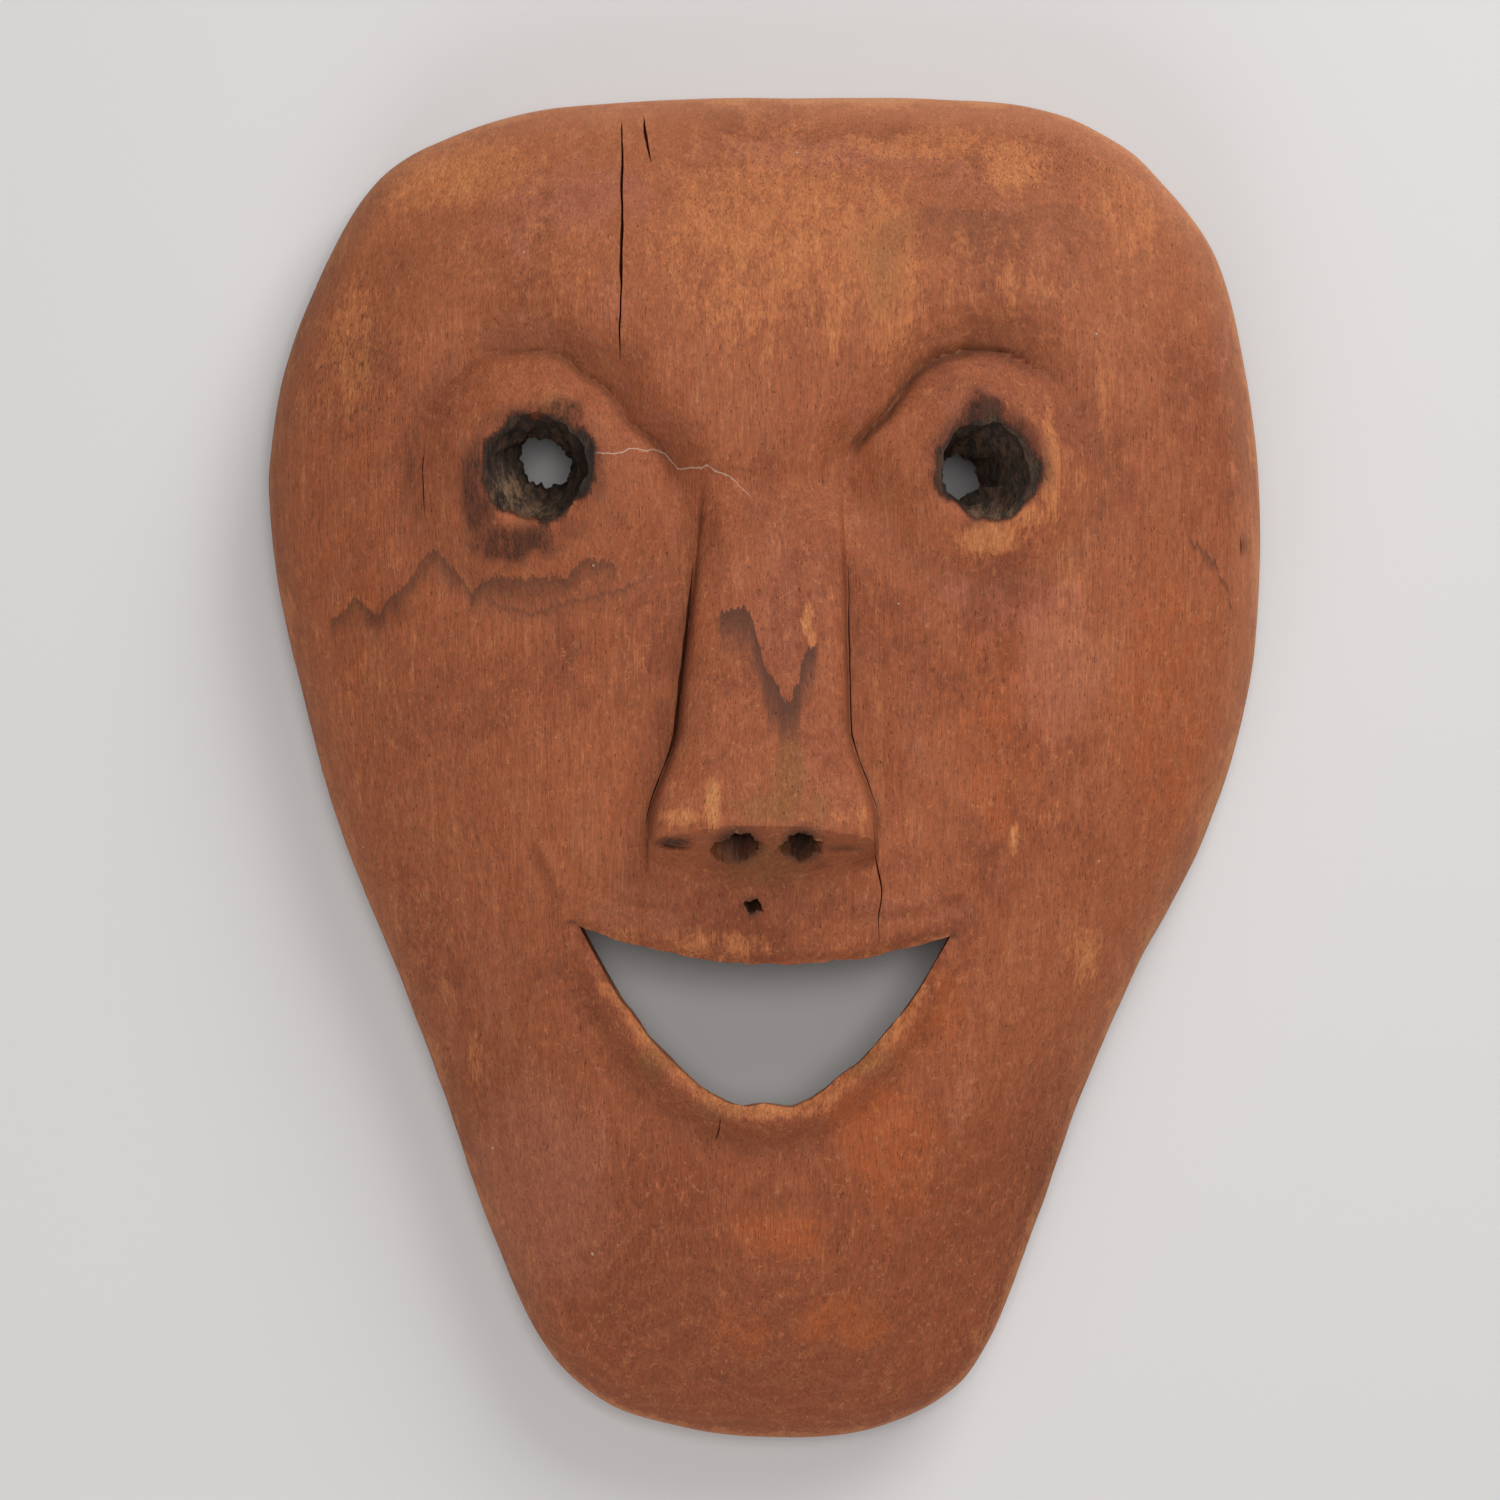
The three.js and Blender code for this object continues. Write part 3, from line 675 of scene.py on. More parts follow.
# worn patches that show the ochre wood: middle, half width, half height, strength, in millimetres
wornPatches = [
    (2, 112, 30, 28, 0.44), (-13, 110, 14, 20, 0.3), (26, 106, 9, 22, 0.56), (14.5, 95, 2.6, 11, 0.55),
    (-66, 127, 22, 9, 0.5), (-88, 90, 7, 16, 0.45), (-44, 108, 20, 16, 0.22),
    (48, 106, 22, 12, 0.26), (53, 129, 9, 7, 0.6), (30, 133, 22, 4, 0.42),
    (78, 118, 12, 12, 0.3), (47.5, 48.5, 8, 4.5, 0.75), (60, 63, 2.6, 12, 0.75), (55, 53, 5, 3, 0.6),
    (-43.5, 76.5, 5, 4, 0.6), (72, 84, 3, 16, 0.35), (68, 60, 8, 4, 0.2),
    (8.8, 31.0, 1.4, 4.2, 0.8), (10, 27, 1.2, 2.4, 0.8), (-10.6, -7.0, 2.0, 6, 0.9), (-17, -10.0, 6, 2, 0.7),
    (18, -9.5, 5, 2.4, 0.4), (2, -7, 10, 8, 0.2), (-9, -37.5, 13, 4.5, 0.46), (-28, -35.0, 6, 3, 0.36),
    (22, -38, 10, 3, 0.2), (1, -71.5, 13, 2.4, 0.7), (-19, -57, 7, 3, 0.4), (52.5, -15, 1.2, 4, 0.8),
    (68, -39, 4, 8, 0.6), (58, -10, 5, 4, 0.2), (66, 30, 10, 22, 0.16), (-84, 20, 9, 50, 0.12),
    (-68, -38, 6, 20, 0.12), (-62, -60, 2, 9, 0.4), (-74, -26, 5, 3, 0.3),
]

# strong orange paint; chalky bloom, on the chin's left also a painted fill light; open pores; plum and
# greenish patches; soot, also painted shade in the nostrils and the nail hole; ash, also painted light on
# the eye bores' lower inner walls; dirt, also painted shade under the nose, at the mouth's corners, in the
# nail hole and round the eyes; each as middle, half width, half height and strength
orangePatches = [
    (25, -80, 14, 18, 0.7), (3.5, -98, 13, 6, 0.8), (16, -118, 13, 7, 0.7), (-4, -120, 9, 7, 0.5),
    (36, -50, 10, 14, 0.5), (50, 8, 15, 30, 0.5), (84, 14, 12, 40, 0.5), (-40, -120, 16, 9, 0.3),
    (88, -4, 8, 18, 0.4), (-36, -2, 16, 20, 0.25), (-88, 40, 10, 30, 0.3),
]
bloomAndFillPatches = [
    (62, 20, 11, 20, 0.75), (32, 8, 4, 16, 0.45), (42, -70, 5, 9, 0.5), (3, 34, 13, 22, 0.42),
    (-12, 10, 9, 22, 0.3), (12, 8, 9, 18, 0.35), (-58, 70, 10, 8, 0.3), (42, 74, 12, 10, 0.4),
    (70, 86, 9, 16, 0.4), (62, 104, 14, 8, 0.3), (-70, 6, 12, 26, 0.25), (-36, 112, 16, 14, 0.2),
    # the patch at (-48, -90) pales the chin's left chiefly to lighten it: bloom and a painted fill light
    (-48, -90, 20, 30, 0.85), (-8, -30, 30, 5, 0.3), (30, -30, 20, 5, 0.35), (-26, -30, 16, 8, 0.45),
    (-62, -46, 14, 22, 0.35),
]
porePatches = [(-88, 84, 14, 20, 1.0), (60, -88, 8, 24, 1.0), (-74, -60, 8, 40, 0.7), (44, 130, 50, 10, 0.6)]
plumPatches = [
    (-40, 121, 22, 9, 0.6), (-52, 114, 10, 10, 0.4), (10, 131, 30, 5, 0.6), (40, 126, 12, 6, 0.4),
    (62, 112, 26, 10, 0.25), (-46, 92, 18, 8, 0.3), (-34, 100, 8, 16, 0.3), (98, 90, 6, 16, 0.3),
    (-66, 60, 5, 14, 0.2), (52, 34, 26, 9, 0.35), (-24, 72, 10, 14, 0.3), (24, 78, 12, 12, 0.2),
]
tanPatches = [
    (25, 106, 7, 16, 0.5), (5, -2, 4, 11, 0.8), (1, -8, 9, 4, 0.8), (10, -8, 5, 4, 0.5),
    (0, -20, 12, 6, 0.6), (-23, -62, 5, 5, 0.7),
    (-10, -72, 8, 3, 0.6), (22, -62, 6, 4, 0.6),
]
sootAndPitShadePatches = [
    (-60, 59, 6, 14, 0.5), (-52, 48, 13, 6, 0.5), (-42, 74, 6, 6, 0.5), (-56, 73, 5, 5, 0.36),
    (-35, 62, 4, 9, 0.36), (-40, 51, 5, 5, 0.36), (46, 74, 6, 5.6, 0.62), (54, 71, 5, 5, 0.44),
    (59, 62, 3, 7, 0.36), (46, 51.5, 8, 2.5, 0.3), (36, 66, 4, 6, 0.36), (-80, 33, 8, 4, 0.3),
    # this row makes the nostrils and the nail hole nearly black: painted shade in the pits
    (-5.6, -15.6, 3.4, 2.4, 0.8), (7.7, -15.6, 3.0, 2.2, 0.85), (-2.4, -28.6, 1.0, 1.4, 0.8),
]
# ash on the lower inner walls of the eye bores, paler than the char: ash, and painted light where the bores
# lie in shade
ashAndLitWallPatches = [(-53.5, 57.5, 4, 5, 0.9), (-50, 54, 7, 2.5, 0.5), (47, 53, 7, 2.5, 0.4)]
dirtAndShadePatches = [
    # painted shade under the nose (the first four), at the mouth's corners, in the nail hole, in the left
    # eye's inner socket, over the right eye and at the nose's root; dirt in the scratch beside the right
    # nostril and in the pores; the crack on the right edge darkened
    (-5.6, -15.8, 5.2, 4.2, 1.2), (7.7, -15.8, 4.6, 4.0, 1.2), (-18.8, -15.2, 4.2, 1.4, 1.0),
    (1, -16.5, 14, 5, 0.14), (-40.6, -32.6, 1.4, 0.6, 0.8), (39.6, -35, 1.4, 0.6, 0.8),
    (-2.4, -28.9, 2.0, 2.4, 0.9), (16, -16.4, 4.4, 0.7, 0.7), (-84, 88, 5, 6, 0.16), (63, -90, 8, 12, 0.14),
    (102.8, 48, 0.4, 2.6, 0.7), (-33, 60, 9, 15, 0.11), (43, 77, 12, 6, 0.1), (1, 52, 8, 8, 0.08),
]


# the strongest of some soft ellipses at each point
def patches(x, y, table):
    total = np.zeros(len(x))
    for cx, cy, rx, ry, strength in table:
        reach = np.hypot((x - cx) / rx, (y - cy) / ry)
        total = np.maximum(total, strength * smooth(1.35 - reach))
    return total


# per-point paint masks, all from the finished points' places
def paintMasks(piece):
    mesh = piece.data

    def pointVectors(name):
        values = np.empty(len(mesh.vertices) * 3, np.float32)
        mesh.vertices.foreach_get(name, values)
        return values.reshape(-1, 3)

    x, y, z = (pointVectors("co") / mm).T
    back = smooth((-pointVectors("normal")[:, 2] - 0.25) / 0.3)
    front = 1 - back

    ragged = 5 * (rough(x, y, 4, 9, 13, 2) - 0.5)
    sootAndPitShade = patches(x + 0.4 * ragged, y + ragged, sootAndPitShadePatches)
    dirtAndShade = patches(x, y, dirtAndShadePatches)
    for eye in eyes:
        r = np.hypot(x - eye["x"], y - eye["y"]) - eye["front"]
        sootAndPitShade = np.maximum(sootAndPitShade, 1 - smooth((r + 0.9 * ragged) / 2.9))
        scorched = smooth(0.5 - eye["side"] * 0.5 + (y - eye["y"]) / 12)
        sootAndPitShade = np.maximum(sootAndPitShade, 0.5 * scorched * (1 - smooth((r + 0.8 * ragged) / 8.5)))
        line, radius, angle = eyePlace(x, y, eye)
        # painted shade: darker in the cut crease over each eye, in a soft ring round the swollen eye and in
        # a thin line along its outer side
        crease = bell(line + 0.4, 1.3) * upperInner(angle, eye)
        dirtAndShade = np.maximum(dirtAndShade, 0.38 * eye["cut"] * crease)
        dirtAndShade = np.maximum(dirtAndShade, 0.16 * bell(line - 1.5, 4.0))
        outer = smooth((np.abs(angle) - 150) / 10)
        dirtAndShade = np.maximum(dirtAndShade, 0.5 * bell(line - 1 + 0.3 * ragged, 0.45) * outer)
    # painted shade in the creases beside the nose
    beside = bell(np.abs(x - noseMiddle(y)) - noseHalf(y) - 0.3, 0.9)
    length = smooth((y + 18) / 8) * smooth((50 - y) / 18)
    dirtAndShade = np.maximum(dirtAndShade, 0.3 * beside * length)
    curve = outlineCurve()[::2]
    rimGap = distanceTo(curve, x, y, 14)
    wearAndEdgeHighlight = patches(x, y, wornPatches)
    # a share that grows towards the lamp, up and to the right, used to paint the edges it reaches paler: a
    # painted highlight
    towardsLight = smooth(0.35 + 0.5 * y / halfHeight + 0.35 * x / halfWidth)
    rimWidth = 1.2 + 6 * rough(x, y, 12, 12, 15, 3) ** 2
    upperEdge = smooth((z - face["girthHeight"] + 4) / 9)
    broken = 0.25 + 1.2 * rough(x + z, y - z, 9, 9, 23, 3)

    def nearEdge(width):
        return (1 - smooth(rimGap / width)) * upperEdge

    # paint worn off along the edges, stronger on the sides towards the lamp, and every edge a little paler:
    # wear and a painted highlight
    wearAndEdgeHighlight = np.maximum(wearAndEdgeHighlight, broken * mix(0.6, 1.3, towardsLight) * nearEdge(rimWidth)) + 0.12 * nearEdge(13)
    # a pale line along the edges towards the lamp and a pale band on the side above the girth: painted
    # highlight
    thinRim = 1.4 + 2.4 * rough(x, y, 7, 7, 19, 2)
    rim = 0.8 * broken * towardsLight * nearEdge(thinRim)
    overGirth = smooth((z - face["girthHeight"] - 1) / 5)
    rim = np.maximum(rim, 0.4 * np.maximum(towardsLight, 0.4) * (1 - smooth(rimGap / 10)) * overGirth)
    lowerRight = smooth((x - 20) / 20) * smooth((-y - 60) / 30)
    bottom = np.maximum(lowerRight, 0.7 * smooth((-y - 122) / 8))
    wearAndEdgeHighlight = np.maximum(wearAndEdgeHighlight, 1.1 * bottom * nearEdge(thinRim))
    rim = rim * (1 - bottom)
    # darker on the side's lowest few millimetres, next to the floor
    dirtAndShade = np.maximum(dirtAndShade, 0.5 * (1 - smooth((z - 1) / 7)) * (rimGap < 3))
    out, share = outOfGrin(x, y)
    lipEdge = bell(out - 0.5, 2.2) * (1 - smooth((share - 0.9) / 0.2)) * (y < grin["y"] - grin["sag"] - 4)
    wearAndEdgeHighlight = np.maximum(wearAndEdgeHighlight, (0.62 + 0.06 * ragged) * lipEdge)
    # painted shade in the groove round the lower lip, on the left
    dirtAndShade = np.maximum(dirtAndShade, 0.14 * bell(out - 8.5, 2.6) * (1 - smooth((share - 0.7) / 0.3)) * (x < 12))
    # the grin's cut side is worn and a little dirty with handling
    inside = np.minimum(y - lowerLipY(x), upperLipY(x) - y)
    inGrin = smooth((inside + 1.5) / 1.5) * (np.abs(x) < grin["half"] + 1)
    inGrin = inGrin * smooth((crown(y) - 1.2 - z) / 1.5)
    dirtAndShade = np.maximum(dirtAndShade, 0.3 * inGrin)
    wearAndEdgeHighlight = np.maximum(wearAndEdgeHighlight, 0.55 * inGrin)
    masks = {"sootAndPitShade": sootAndPitShade * front, "dirtAndShade": dirtAndShade * front, "wearAndEdgeHighlight": wearAndEdgeHighlight * front, "rim": rim * front,
             "back": back, "tan": patches(x, y, tanPatches) * front, "orange": patches(x, y, orangePatches),
             "bloomAndFill": patches(x, y, bloomAndFillPatches), "pores": patches(x, y, porePatches),
             "plum": patches(x, y + 0.4 * ragged, plumPatches), "ashAndLitWall": patches(x, y, ashAndLitWallPatches)}
    for name, values in masks.items():
        layer = mesh.attributes.new(name, "FLOAT", "POINT")
        layer.data.foreach_set("value", values.astype(np.float32))


paintMasks(mask)
mask.data.shade_smooth()
mask.data.set_sharp_from_angle(angle=math.radians(38))
print("paint masks made")

# the wood's material, whose tree the helpers below add their nodes to
paint = bpy.data.materials.new("painted_wood")
paint.use_nodes = True
tree = paint.node_tree


# one node: sockets are linked to its inputs, and plain values are set on them
def addNode(kind, inputs=None, **settings):
    node = tree.nodes.new("ShaderNode" + kind)
    for key, value in settings.items():
        setattr(node, key, value)
    for key, value in (inputs or {}).items():
        if isinstance(value, bpy.types.NodeSocket):
            tree.links.new(value, node.inputs[key])
        else:
            node.inputs[key].default_value = value
    return node


def calc(operation, a, b=0.0, c=0.0):
    return addNode("Math", {0: a, 1: b, 2: c}, operation=operation).outputs[0]


def times(a, b):
    return calc("MULTIPLY", a, b)


def timesPlus(a, b, c):
    return calc("MULTIPLY_ADD", a, b, c)


# 0 to 1 with an eased step as a value passes from low to high
def band(value, low, high):
    inputs = {"Value": value, "From Min": low, "From Max": high}
    return addNode("MapRange", inputs, interpolation_type="SMOOTHSTEP").outputs[0]


# noise on a stretched place: scale is in patches to a millimetre
def noise(place, stretch, scale, detail=2.0, roughness=0.5, warp=0.0):
    stretched = addNode("VectorMath", {0: place, 1: stretch}, operation="MULTIPLY").outputs[0]
    inputs = {"Vector": stretched, "Scale": scale, "Detail": detail, "Roughness": roughness}
    inputs["Distortion"] = warp
    return addNode("TexNoise", inputs).outputs["Fac"]


# colour b over colour a by an amount, or a multiplied by b
def blend(amount, a, b, mode="MIX"):
    node = addNode("Mix", {0: amount, 6: a, 7: b}, data_type="RGBA", blend_type=mode)
    return node.outputs[2]


# a line drawn across the wood, y worked out from x through the points given, in millimetres
def drawnLine(x, points):
    points = np.array(points, float)
    low = points.min(0) - 1
    high = points.max(0) + 1
    share = calc("DIVIDE", calc("SUBTRACT", x, low[0]), high[0] - low[0])
    node = addNode("FloatCurve", {"Value": share})
    curve = node.mapping.curves[0]
    places = (points - low) / (high - low)
    for k, (px, py) in enumerate(places):
        if k < 2:
            curve.points[k].location = (px, py)
        else:
            curve.points.new(px, py)
    for point in curve.points:
        point.handle_type = "VECTOR"
    node.mapping.update()
    lineY = timesPlus(node.outputs[0], high[1] - low[1], low[1])
    start = band(x, points[0, 0] - 0.5, points[0, 0] + 1.5)
    end = band(x, points[-1, 0] + 0.5, points[-1, 0] - 1.5)
    return lineY, times(start, end)


# dried water stains: dark right below a sharp wandering line, fading further down
def tideMark(x, y, wiggle, fading, points, depth):
    lineY, window = drawnLine(x, points)
    below = calc("SUBTRACT", calc("ADD", lineY, wiggle), y)
    edge = band(below, 0, 0.45)
    fade = band(calc("DIVIDE", below, times(times(fading, window), depth)), 1.0, 0.0)
    line = times(band(below, 1.6, 0.4), 0.55)
    body = timesPlus(fade, calc("SUBTRACT", 1.0, line), line)
    return times(times(edge, body), window)


# tide lines as points across the face, in millimetres
cheekStain = [
    (-93.5, 31.6), (-89.7, 34), (-87.3, 36.5), (-85.4, 36.3), (-83.9, 33.5), (-82, 32.9), (-79.3, 36.7),
    (-76.1, 39), (-73.4, 42.8), (-71.1, 45.7), (-69.4, 46.3), (-66.7, 43.6), (-63.9, 40.9), (-61.6, 37.1),
    (-59.3, 39.6), (-57.4, 40.5), (-53, 40.3), (-48.4, 40.3), (-41, 40.9), (-39.3, 43.2), (-37, 44.4),
    (-33.7, 43.8), (-30.1, 42.8),
]
underEyeStain = [(-60.1, 37.3), (-53.8, 34), (-48.4, 33.3), (-40.2, 35.4), (-33.7, 37.3), (-26.5, 39)]
noseStain = [
    (-10, 31), (-8.8, 33.3), (-4.7, 33.7), (-3.2, 33.3), (-2.2, 30.2), (-0.5, 23.4), (0.7, 19.2),
    (2.6, 18), (3.8, 14.1), (5.5, 15.3), (7.2, 18.4), (7.6, 22.1), (9.2, 25.4), (11.5, 26.1),
]
foreheadStain = [
    (23.3, 114), (29.4, 117.6), (37.5, 119.5), (46.1, 118), (49.3, 118.7), (57.6, 120.1), (64.3, 120.5),
    (70.1, 118.7), (72.2, 115.5),
]
edgeStain = [(90, 49.5), (95, 45.6), (96.9, 43.8), (97.7, 41), (99.4, 39), (100, 35.9), (101, 30.5)]

# each stain's line, how far it fades below it and its strength
stains = [(cheekStain, 9, 0.66), (underEyeStain, 3, 0.5), (noseStain, 19, 0.88), (edgeStain, 4, 0.7),
          (foreheadStain, 24, 0.2)]

# a pale fibre stuck across the nose's root
lintFibre = [
    (-52.5, 72), (-41.5, 67.9), (-36.2, 67.4), (-32.3, 67.6), (-27, 68.5), (-21.4, 68.3), (-18.3, 64.5),
    (-12, 64.9), (-6.6, 62.6), (-2.6, 58),
]

# some colours below also paint light and shade: the rim's pale colour a highlight on the edges towards the
# lamp, the chin's red colour shade at the chin, the dirt colour shade in creases and under the nose, the
# soot and halo colours shade in the nostrils and nail hole, the ash colour light in the eye bores and the
# bloom colour a fill light on the chin's left
woodColours = {
    "paint": (0.277, 0.076, 0.029, 1),
    "paintDark": (0.194, 0.049, 0.019, 1),
    "paintPale": (0.362, 0.124, 0.053, 1),
    "orange": (0.315, 0.073, 0.018, 1),
    "bloomAndFill": (0.350, 0.115, 0.062, 1),
    "plum": (0.290, 0.085, 0.052, 1),
    "chinRedAndShade": (0.200, 0.048, 0.016, 1),
    "ochre": (0.460, 0.190, 0.068, 1),
    "ochreDeep": (0.405, 0.132, 0.045, 1),
    "tan": (0.195, 0.080, 0.025, 1),
    "rimHighlight": (0.520, 0.230, 0.125, 1),
    "stain": (0.072, 0.027, 0.015, 1),
    "haloAndPitShade": (0.075, 0.021, 0.011, 1),
    "ashAndLitWall": (0.190, 0.110, 0.060, 1),
    "dirtAndShade": (0.050, 0.022, 0.012, 1),
    "sootAndPitShade": (0.017, 0.011, 0.008, 1),
    "char": (0.080, 0.040, 0.022, 1),
    "lint": (0.500, 0.400, 0.320, 1),
    "bareWood": (0.450, 0.230, 0.110, 1),
    "bareDark": (0.280, 0.130, 0.060, 1),
}

# patches of colour, bristle streaks along the grain, fibres, flecks and pores:
# stretch, scale, detail, roughness and warp of each one's noise
grain = {
    "mottle": ((1, 0.7, 1), 0.028, 5, 0.62, 0),
    "blotches": ((1, 0.8, 1), 0.16, 4, 0.6, 0.6),
    "streaks": ((1, 0.07, 0.6), 0.45, 4, 0.62, 0),
    "fibres": ((1, 0.045, 1), 2.7, 3, 0.65, 0),
    "flecks": ((1, 0.45, 1), 0.95, 4, 0.7, 0),
    "pores": ((1, 0.14, 1), 3.6, 2, 0.5, 0),
}

# the finish of the wood: rings on the face and over the eyes in radians to a millimetre, the bump in metres
finish = {
    "ior": 1.45,
    "specular": 0.28,
    "smoothest": 0.6,
    "roughening": 0.22,
    "ringRate": (2.3, 1.9),
    "trunk": (8.0, 0.0, -70.0),
    "bumpHeight": 0.0006,
}


# one of the colours laid over the rest
def over(colour, amount, name):
    return blend(amount, colour, woodColours[name])


# the same as a value passes from low to high, at most at the strength given
def tint(colour, value, low, high, strength, name):
    return over(colour, times(band(value, low, high), strength), name)


# a value moved up and down by some noises round their middles
def sway(value, *waves):
    for wave, amount in waves:
        value = timesPlus(calc("SUBTRACT", wave, 0.5), amount, value)
    return value


def paintWood():
    shader = tree.nodes["Principled BSDF"]
    shader.inputs["IOR"].default_value = finish["ior"]
    shader.inputs["Specular IOR Level"].default_value = finish["specular"]
    place = addNode("TexCoord").outputs["Object"]
    place = addNode("VectorMath", {0: place, "Scale": 1000.0}, operation="SCALE").outputs[0]
    axes = addNode("SeparateXYZ", {0: place})
    x, y = axes.outputs[0], axes.outputs[1]

    def attribute(name):
        return addNode("Attribute", attribute_name=name).outputs["Fac"]

    mottle, blotches, streaks, fibres, flecks, pores = [noise(place, *row) for row in grain.values()]

    tone = timesPlus(mottle, 0.75, times(blotches, 0.25))
    colour = blend(band(tone, 0.34, 0.52), woodColours["paintDark"], woodColours["paint"])
    pale = timesPlus(streaks, 0.5, times(tone, 0.5))
    colour = tint(colour, pale, 0.5, 0.66, 0.6, "paintPale")
    # darker and redder towards the chin: the chin's redder paint, and painted shade where the chin turns
    # away from the light
    colour = tint(colour, y, -40, -90, 0.75, "chinRedAndShade")

    # patches frayed by the noises: where each starts to show, where it is full, and its strength
    frayed = [
        ("orange", [(blotches, 1.4)], 0.15, 0.85, 0.75),
        ("bloomAndFill", [(streaks, 0.9), (blotches, 0.7)], 0.15, 0.9, 0.55),
        ("plum", [(blotches, 1.5), (flecks, 0.5)], 0.22, 0.62, 0.72),
    ]
    for name, waves, low, high, strength in frayed:
        colour = tint(colour, sway(attribute(name), *waves), low, high, strength, name)

    # growth rings round a trunk along y, cut through by the face's curve
    trunk = addNode("VectorMath", {0: place, 1: finish["trunk"]}, operation="SUBTRACT").outputs[0]
    flat = addNode("VectorMath", {0: trunk, 1: (1, 0.03, 1)}, operation="MULTIPLY").outputs[0]
    radius = addNode("VectorMath", {0: flat}, operation="LENGTH").outputs["Value"]
    wander = timesPlus(noise(place, (1, 0.5, 1), 0.035, 2), 26, radius)
    rings = timesPlus(calc("SINE", times(wander, finish["ringRate"][0])), 0.5, 0.5)
    colour = tint(colour, rings, 0.55, 1.0, 0.13, "paintPale")

    # the same rings, cut across by the hollows over the eyes
    for eye in eyes:
        inputs = {0: place, 1: (eye["x"] - 3 * eye["side"], eye["y"] - 10, 45.0)}
        away = addNode("VectorMath", inputs, operation="DISTANCE").outputs["Value"]
        phase = times(away, finish["ringRate"][1])
        ripple = calc("SINE", timesPlus(blotches, 14.0, phase))
        zone = times(band(away, 34, 38), band(away, 56, 44))
        zone = times(zone, band(y, eye["y"] + 8, eye["y"] + 24))
        ripple = times(band(ripple, 0.0, 1.0), times(zone, 0.2))
        colour = over(colour, ripple, "paintPale")

    # paint worn through to the ochre wood, and a painted highlight on the edges towards the lamp
    wearAndEdgeHighlight = sway(attribute("wearAndEdgeHighlight"), (streaks, 0.9), (flecks, 0.75), (blotches, 0.8), (fibres, 0.6))
    colour = tint(colour, wearAndEdgeHighlight, 0.14, 0.6, 0.8, "ochreDeep")
    colour = tint(colour, wearAndEdgeHighlight, 0.5, 1.05, 0.8, "ochre")
    tanned = sway(attribute("tan"), (streaks, 1.2), (flecks, 0.9))
    colour = tint(colour, tanned, 0.1, 0.9, 0.6, "tan")

    # hairline scratches: where a warped noise passes its middle value, broken up by blotches
    for scale, strength, name in ((0.22, 0.5, "paintPale"), (0.42, 0.4, "ochre"), (0.33, 0.3, "dirtAndShade")):
        warped = noise(place, (1, 0.6, 1), scale, 2, 0.5, 1.2)
        hair = band(calc("ABSOLUTE", calc("SUBTRACT", warped, 0.5)), 0.02, 0.004)
        broken = band(noise(place, (1, 1, 1), scale * 1.7, 2), 0.5, 0.6)
        hair = times(times(hair, broken), strength)
        colour = over(colour, hair, name)

    # the fibres' own light and dark, then open pores
    grit = noise(place, (1, 0.7, 1), 1.7, 3, 0.7)
    shadeValue = sway(timesPlus(fibres, 1.0, 0.5), (flecks, 0.75), (grit, 0.5))
    shade = addNode("CombineColor", {0: shadeValue, 1: shadeValue, 2: shadeValue}).outputs[0]
    colour = blend(1.0, colour, shade, "MULTIPLY")
    poreMask = band(timesPlus(attribute("pores"), 0.07, pores), 0.67, 0.75)
    colour = over(colour, times(poreMask, 0.5), "dirtAndShade")

    # the forehead a little paler towards the top
    colour = tint(colour, y, 70, 125, 0.1, "ochre")
    # a painted highlight on the edges towards the lamp
    colour = over(colour, times(attribute("rim"), 0.8), "rimHighlight")

    # water stains with a sharp upper edge
    wiggle = timesPlus(noise(place, (1, 0.12, 1), 0.75, 5, 0.72), 4.6, -2.3)
    teeth = calc("SUBTRACT", noise(place, (1, 0.1, 1), 1.9, 3, 0.6), 0.5)
    wiggle = timesPlus(teeth, 4.0, wiggle)
    fading = timesPlus(noise(place, (1, 0.2, 1), 0.35, 2), 1.2, 0.15)
    stain = 0.0
    for points, depth, strength in stains:
        mark = tideMark(x, y, wiggle, fading, points, depth)
        stain = calc("MAXIMUM", times(mark, strength), stain)
    colour = over(colour, stain, "stain")

    # dirt, and painted shade in the creases, round the eyes and under the nose
    dirtAndShade = times(attribute("dirtAndShade"), timesPlus(flecks, 1.2, 0.3))
    colour = over(colour, addNode("Clamp", {"Value": dirtAndShade}).outputs[0], "dirtAndShade")
    lineY, window = drawnLine(x, lintFibre)
    gap = calc("ABSOLUTE", calc("SUBTRACT", lineY, timesPlus(blotches, 3.0, y)))
    lint = times(times(band(gap, 0.22, 0.06), window), 0.55)
    specks = addNode("TexVoronoi", {"Vector": place, "Scale": 0.14})
    speckHue = addNode("SeparateColor", {0: specks.outputs["Color"]}).outputs[0]
    speckHue = timesPlus(attribute("bloomAndFill"), 0.3, speckHue)
    speckSize = times(calc("SUBTRACT", speckHue, 0.62), 0.11)
    speck = calc("LESS_THAN", specks.outputs["Distance"], speckSize)
    lint = calc("MAXIMUM", lint, times(speck, 0.5))
    colour = over(colour, lint, "lint")

    # burnt wood round the eyes: a brown halo, then char; the nostrils and the nail hole get the same
    # near-black as painted shade in the pits
    haloAndPitShade = sway(attribute("sootAndPitShade"), (streaks, 0.6))
    colour = tint(colour, haloAndPitShade, 0.12, 0.62, 0.78, "haloAndPitShade")
    burnAndPitShade = band(sway(attribute("sootAndPitShade"), (flecks, 0.9), (fibres, 0.6)), 0.36, 0.85)
    ashen = timesPlus(flecks, 0.5, times(streaks, 0.5))
    charAndPitShade = blend(band(ashen, 0.42, 0.66), woodColours["sootAndPitShade"], woodColours["char"])
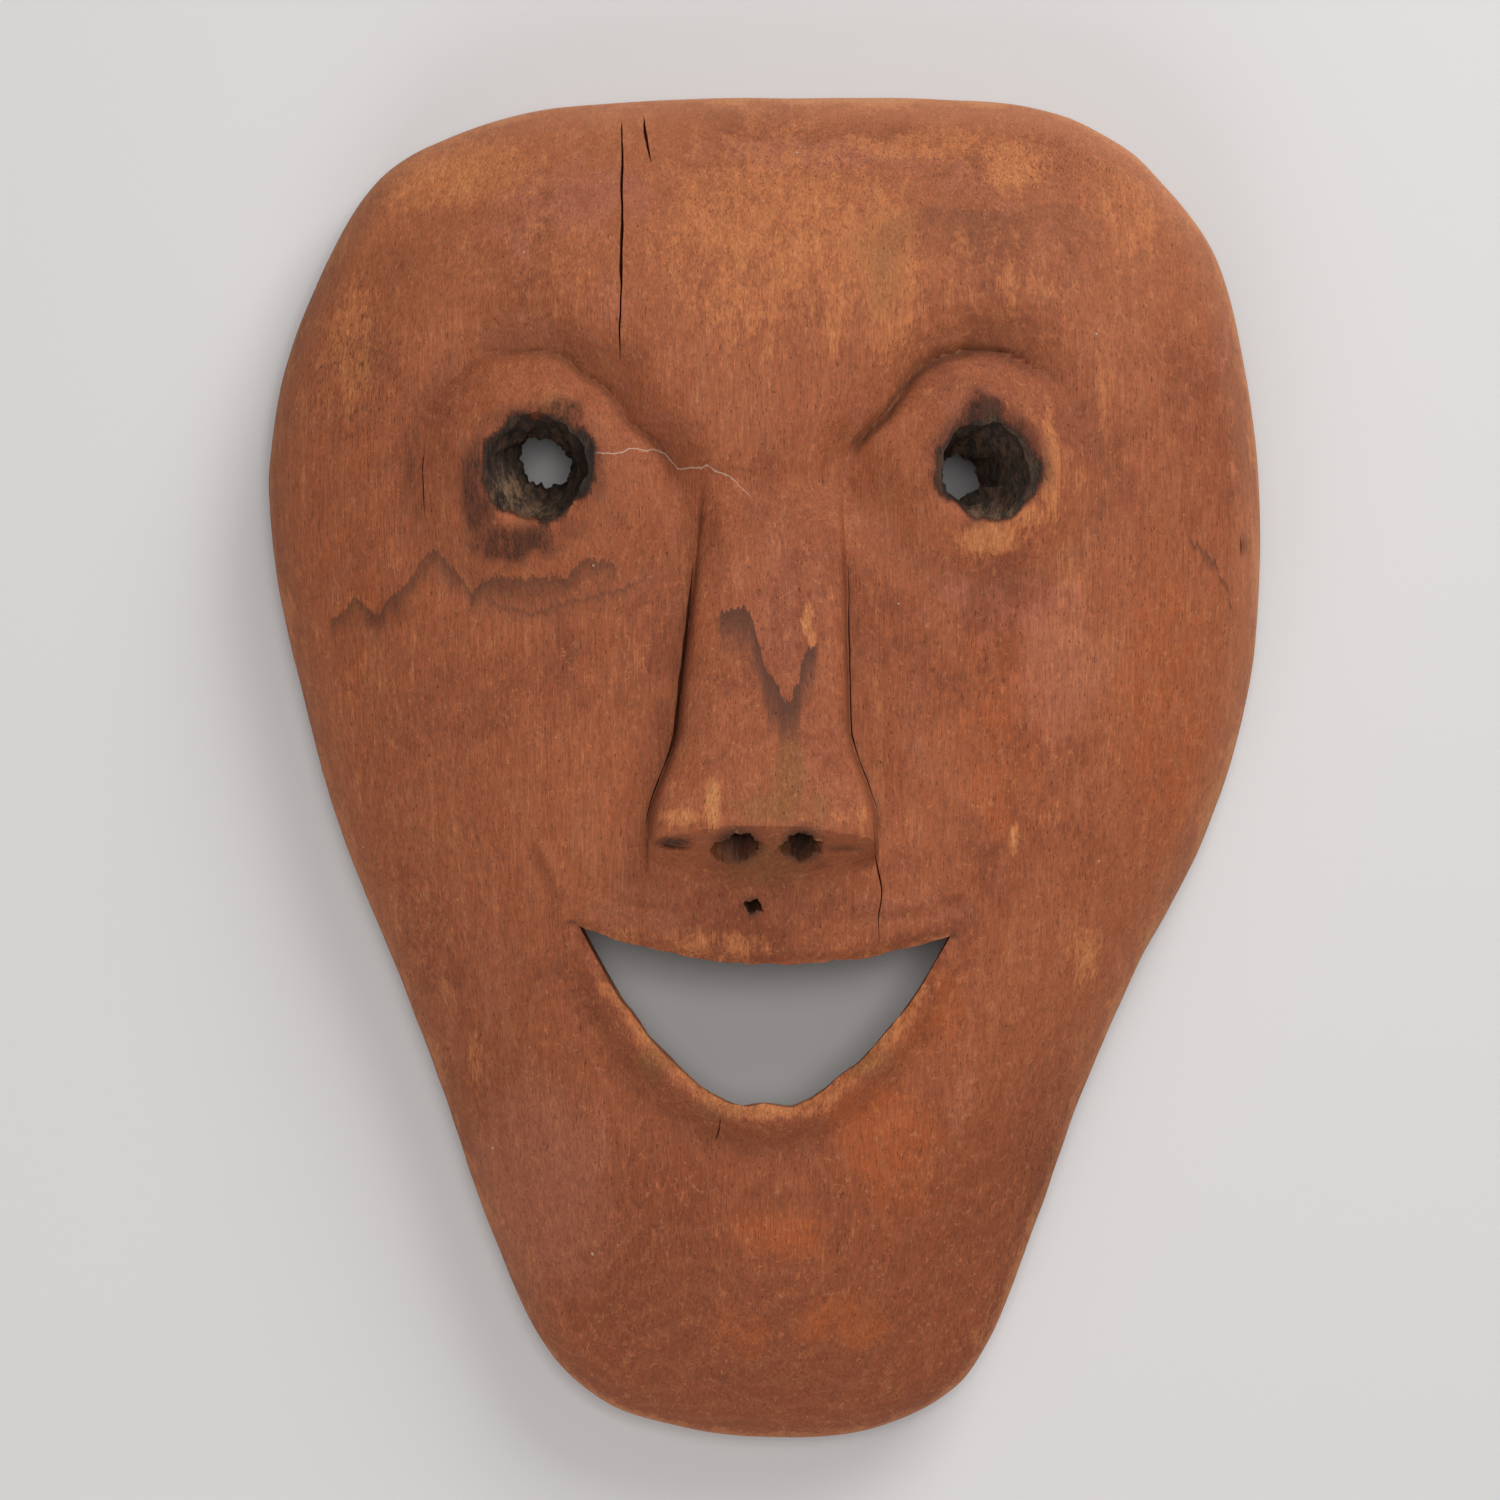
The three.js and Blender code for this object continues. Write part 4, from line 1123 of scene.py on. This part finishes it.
    # ash, and painted light on the bores' lower inner walls
    ashAndLitWallShare = times(attribute("ashAndLitWall"), band(ashen, 0.38, 0.58))
    charAndPitShade = over(charAndPitShade, ashAndLitWallShare, "ashAndLitWall")
    colour = blend(burnAndPitShade, colour, charAndPitShade)

    # the bare hollow back, stroked with the gouge
    bareTone = timesPlus(streaks, 0.6, times(mottle, 0.4))
    bareColour = blend(band(bareTone, 0.35, 0.62), woodColours["bareDark"], woodColours["bareWood"])
    bareColour = over(bareColour, times(poreMask, 0.35), "dirtAndShade")
    colour = blend(attribute("back"), colour, bareColour)
    tree.links.new(colour, shader.inputs["Base Color"])

    roughness = timesPlus(flecks, finish["roughening"], finish["smoothest"])
    tree.links.new(roughness, shader.inputs["Roughness"])
    height = timesPlus(fibres, 0.30, times(flecks, 0.22))
    height = timesPlus(poreMask, -0.35, height)
    height = timesPlus(burnAndPitShade, times(flecks, 1.2), height)
    bump = addNode("Bump", {"Height": height, "Distance": finish["bumpHeight"], "Strength": 1.0})
    tree.links.new(bump.outputs[0], shader.inputs["Normal"])


paintWood()
mask.data.materials.clear()
mask.data.materials.append(paint)
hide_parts("mask")
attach(mask, "root")
print("mask dressed")

# the studio in metres, and the floor's half width and level in millimetres;
# each lamp's place, size and watts
studio = {
    "cameraHeight": 1.0,
    "viewWidth": 0.330,
    "aim": (-0.003, 0.0039),
    "lamps": {
        "top": ((0.05, 0.10, 1.35), 0.42, 7.2),
        "key": ((0.66, 1.04, 0.86), 0.9, 17.5),
        "low": ((-0.30, -1.10, 0.65), 0.9, 6.6),
    },
    "worldLight": 0.21,
    "floorColour": (0.60, 0.586, 0.58, 1),
    "floorHalf": 3000.0,
    "floorLevel": -0.15,
}


# a square lamp that looks at the frame's origin
def areaLight(name, place, size, power):
    lamp = bpy.data.lights.new(name, "AREA")
    lamp.size = size
    lamp.energy = power
    light = bpy.data.objects.new(name, lamp)
    light.location = place
    light.rotation_euler = (-light.location).to_track_quat("-Z", "Y").to_euler()
    bpy.context.scene.collection.objects.link(light)


# a plain square plate under the rim, large enough for every view
def floorSheet():
    half = studio["floorHalf"]
    low = studio["floorLevel"]
    corners = np.array([(-half, -half, low), (half, -half, low), (half, half, low), (-half, half, low)])
    sheet = meshObject("floor", corners, np.array([(0, 1, 2), (0, 2, 3)]))
    material = bpy.data.materials.new("pale_floor")
    material.use_nodes = True
    shader = material.node_tree.nodes["Principled BSDF"]
    shader.inputs["Roughness"].default_value = 0.85
    shader.inputs["Specular IOR Level"].default_value = 0.15
    shader.inputs["Base Color"].default_value = studio["floorColour"]
    sheet.data.materials.append(material)


# straight above the mask, its lens as long as the wanted width of view at the floor asks
def studioCamera():
    lens = bpy.data.cameras.new("camera")
    lens.sensor_width = 36
    lens.lens = lens.sensor_width * studio["cameraHeight"] / studio["viewWidth"]
    camera = bpy.data.objects.new("camera", lens)
    camera.location = (studio["aim"][0], studio["aim"][1], studio["cameraHeight"])
    bpy.context.scene.collection.objects.link(camera)
    bpy.context.scene.camera = camera


studioCamera()
floorSheet()
for lampName, lampValues in studio["lamps"].items():
    areaLight(lampName, *lampValues)
world = bpy.data.worlds.new("studio")
world.use_nodes = True
sky = world.node_tree.nodes["Background"]
sky.inputs["Color"].default_value = (1, 1, 1, 1)
sky.inputs["Strength"].default_value = studio["worldLight"]
bpy.context.scene.world = world
bpy.context.scene.view_settings.view_transform = "Standard"
print("studio set")
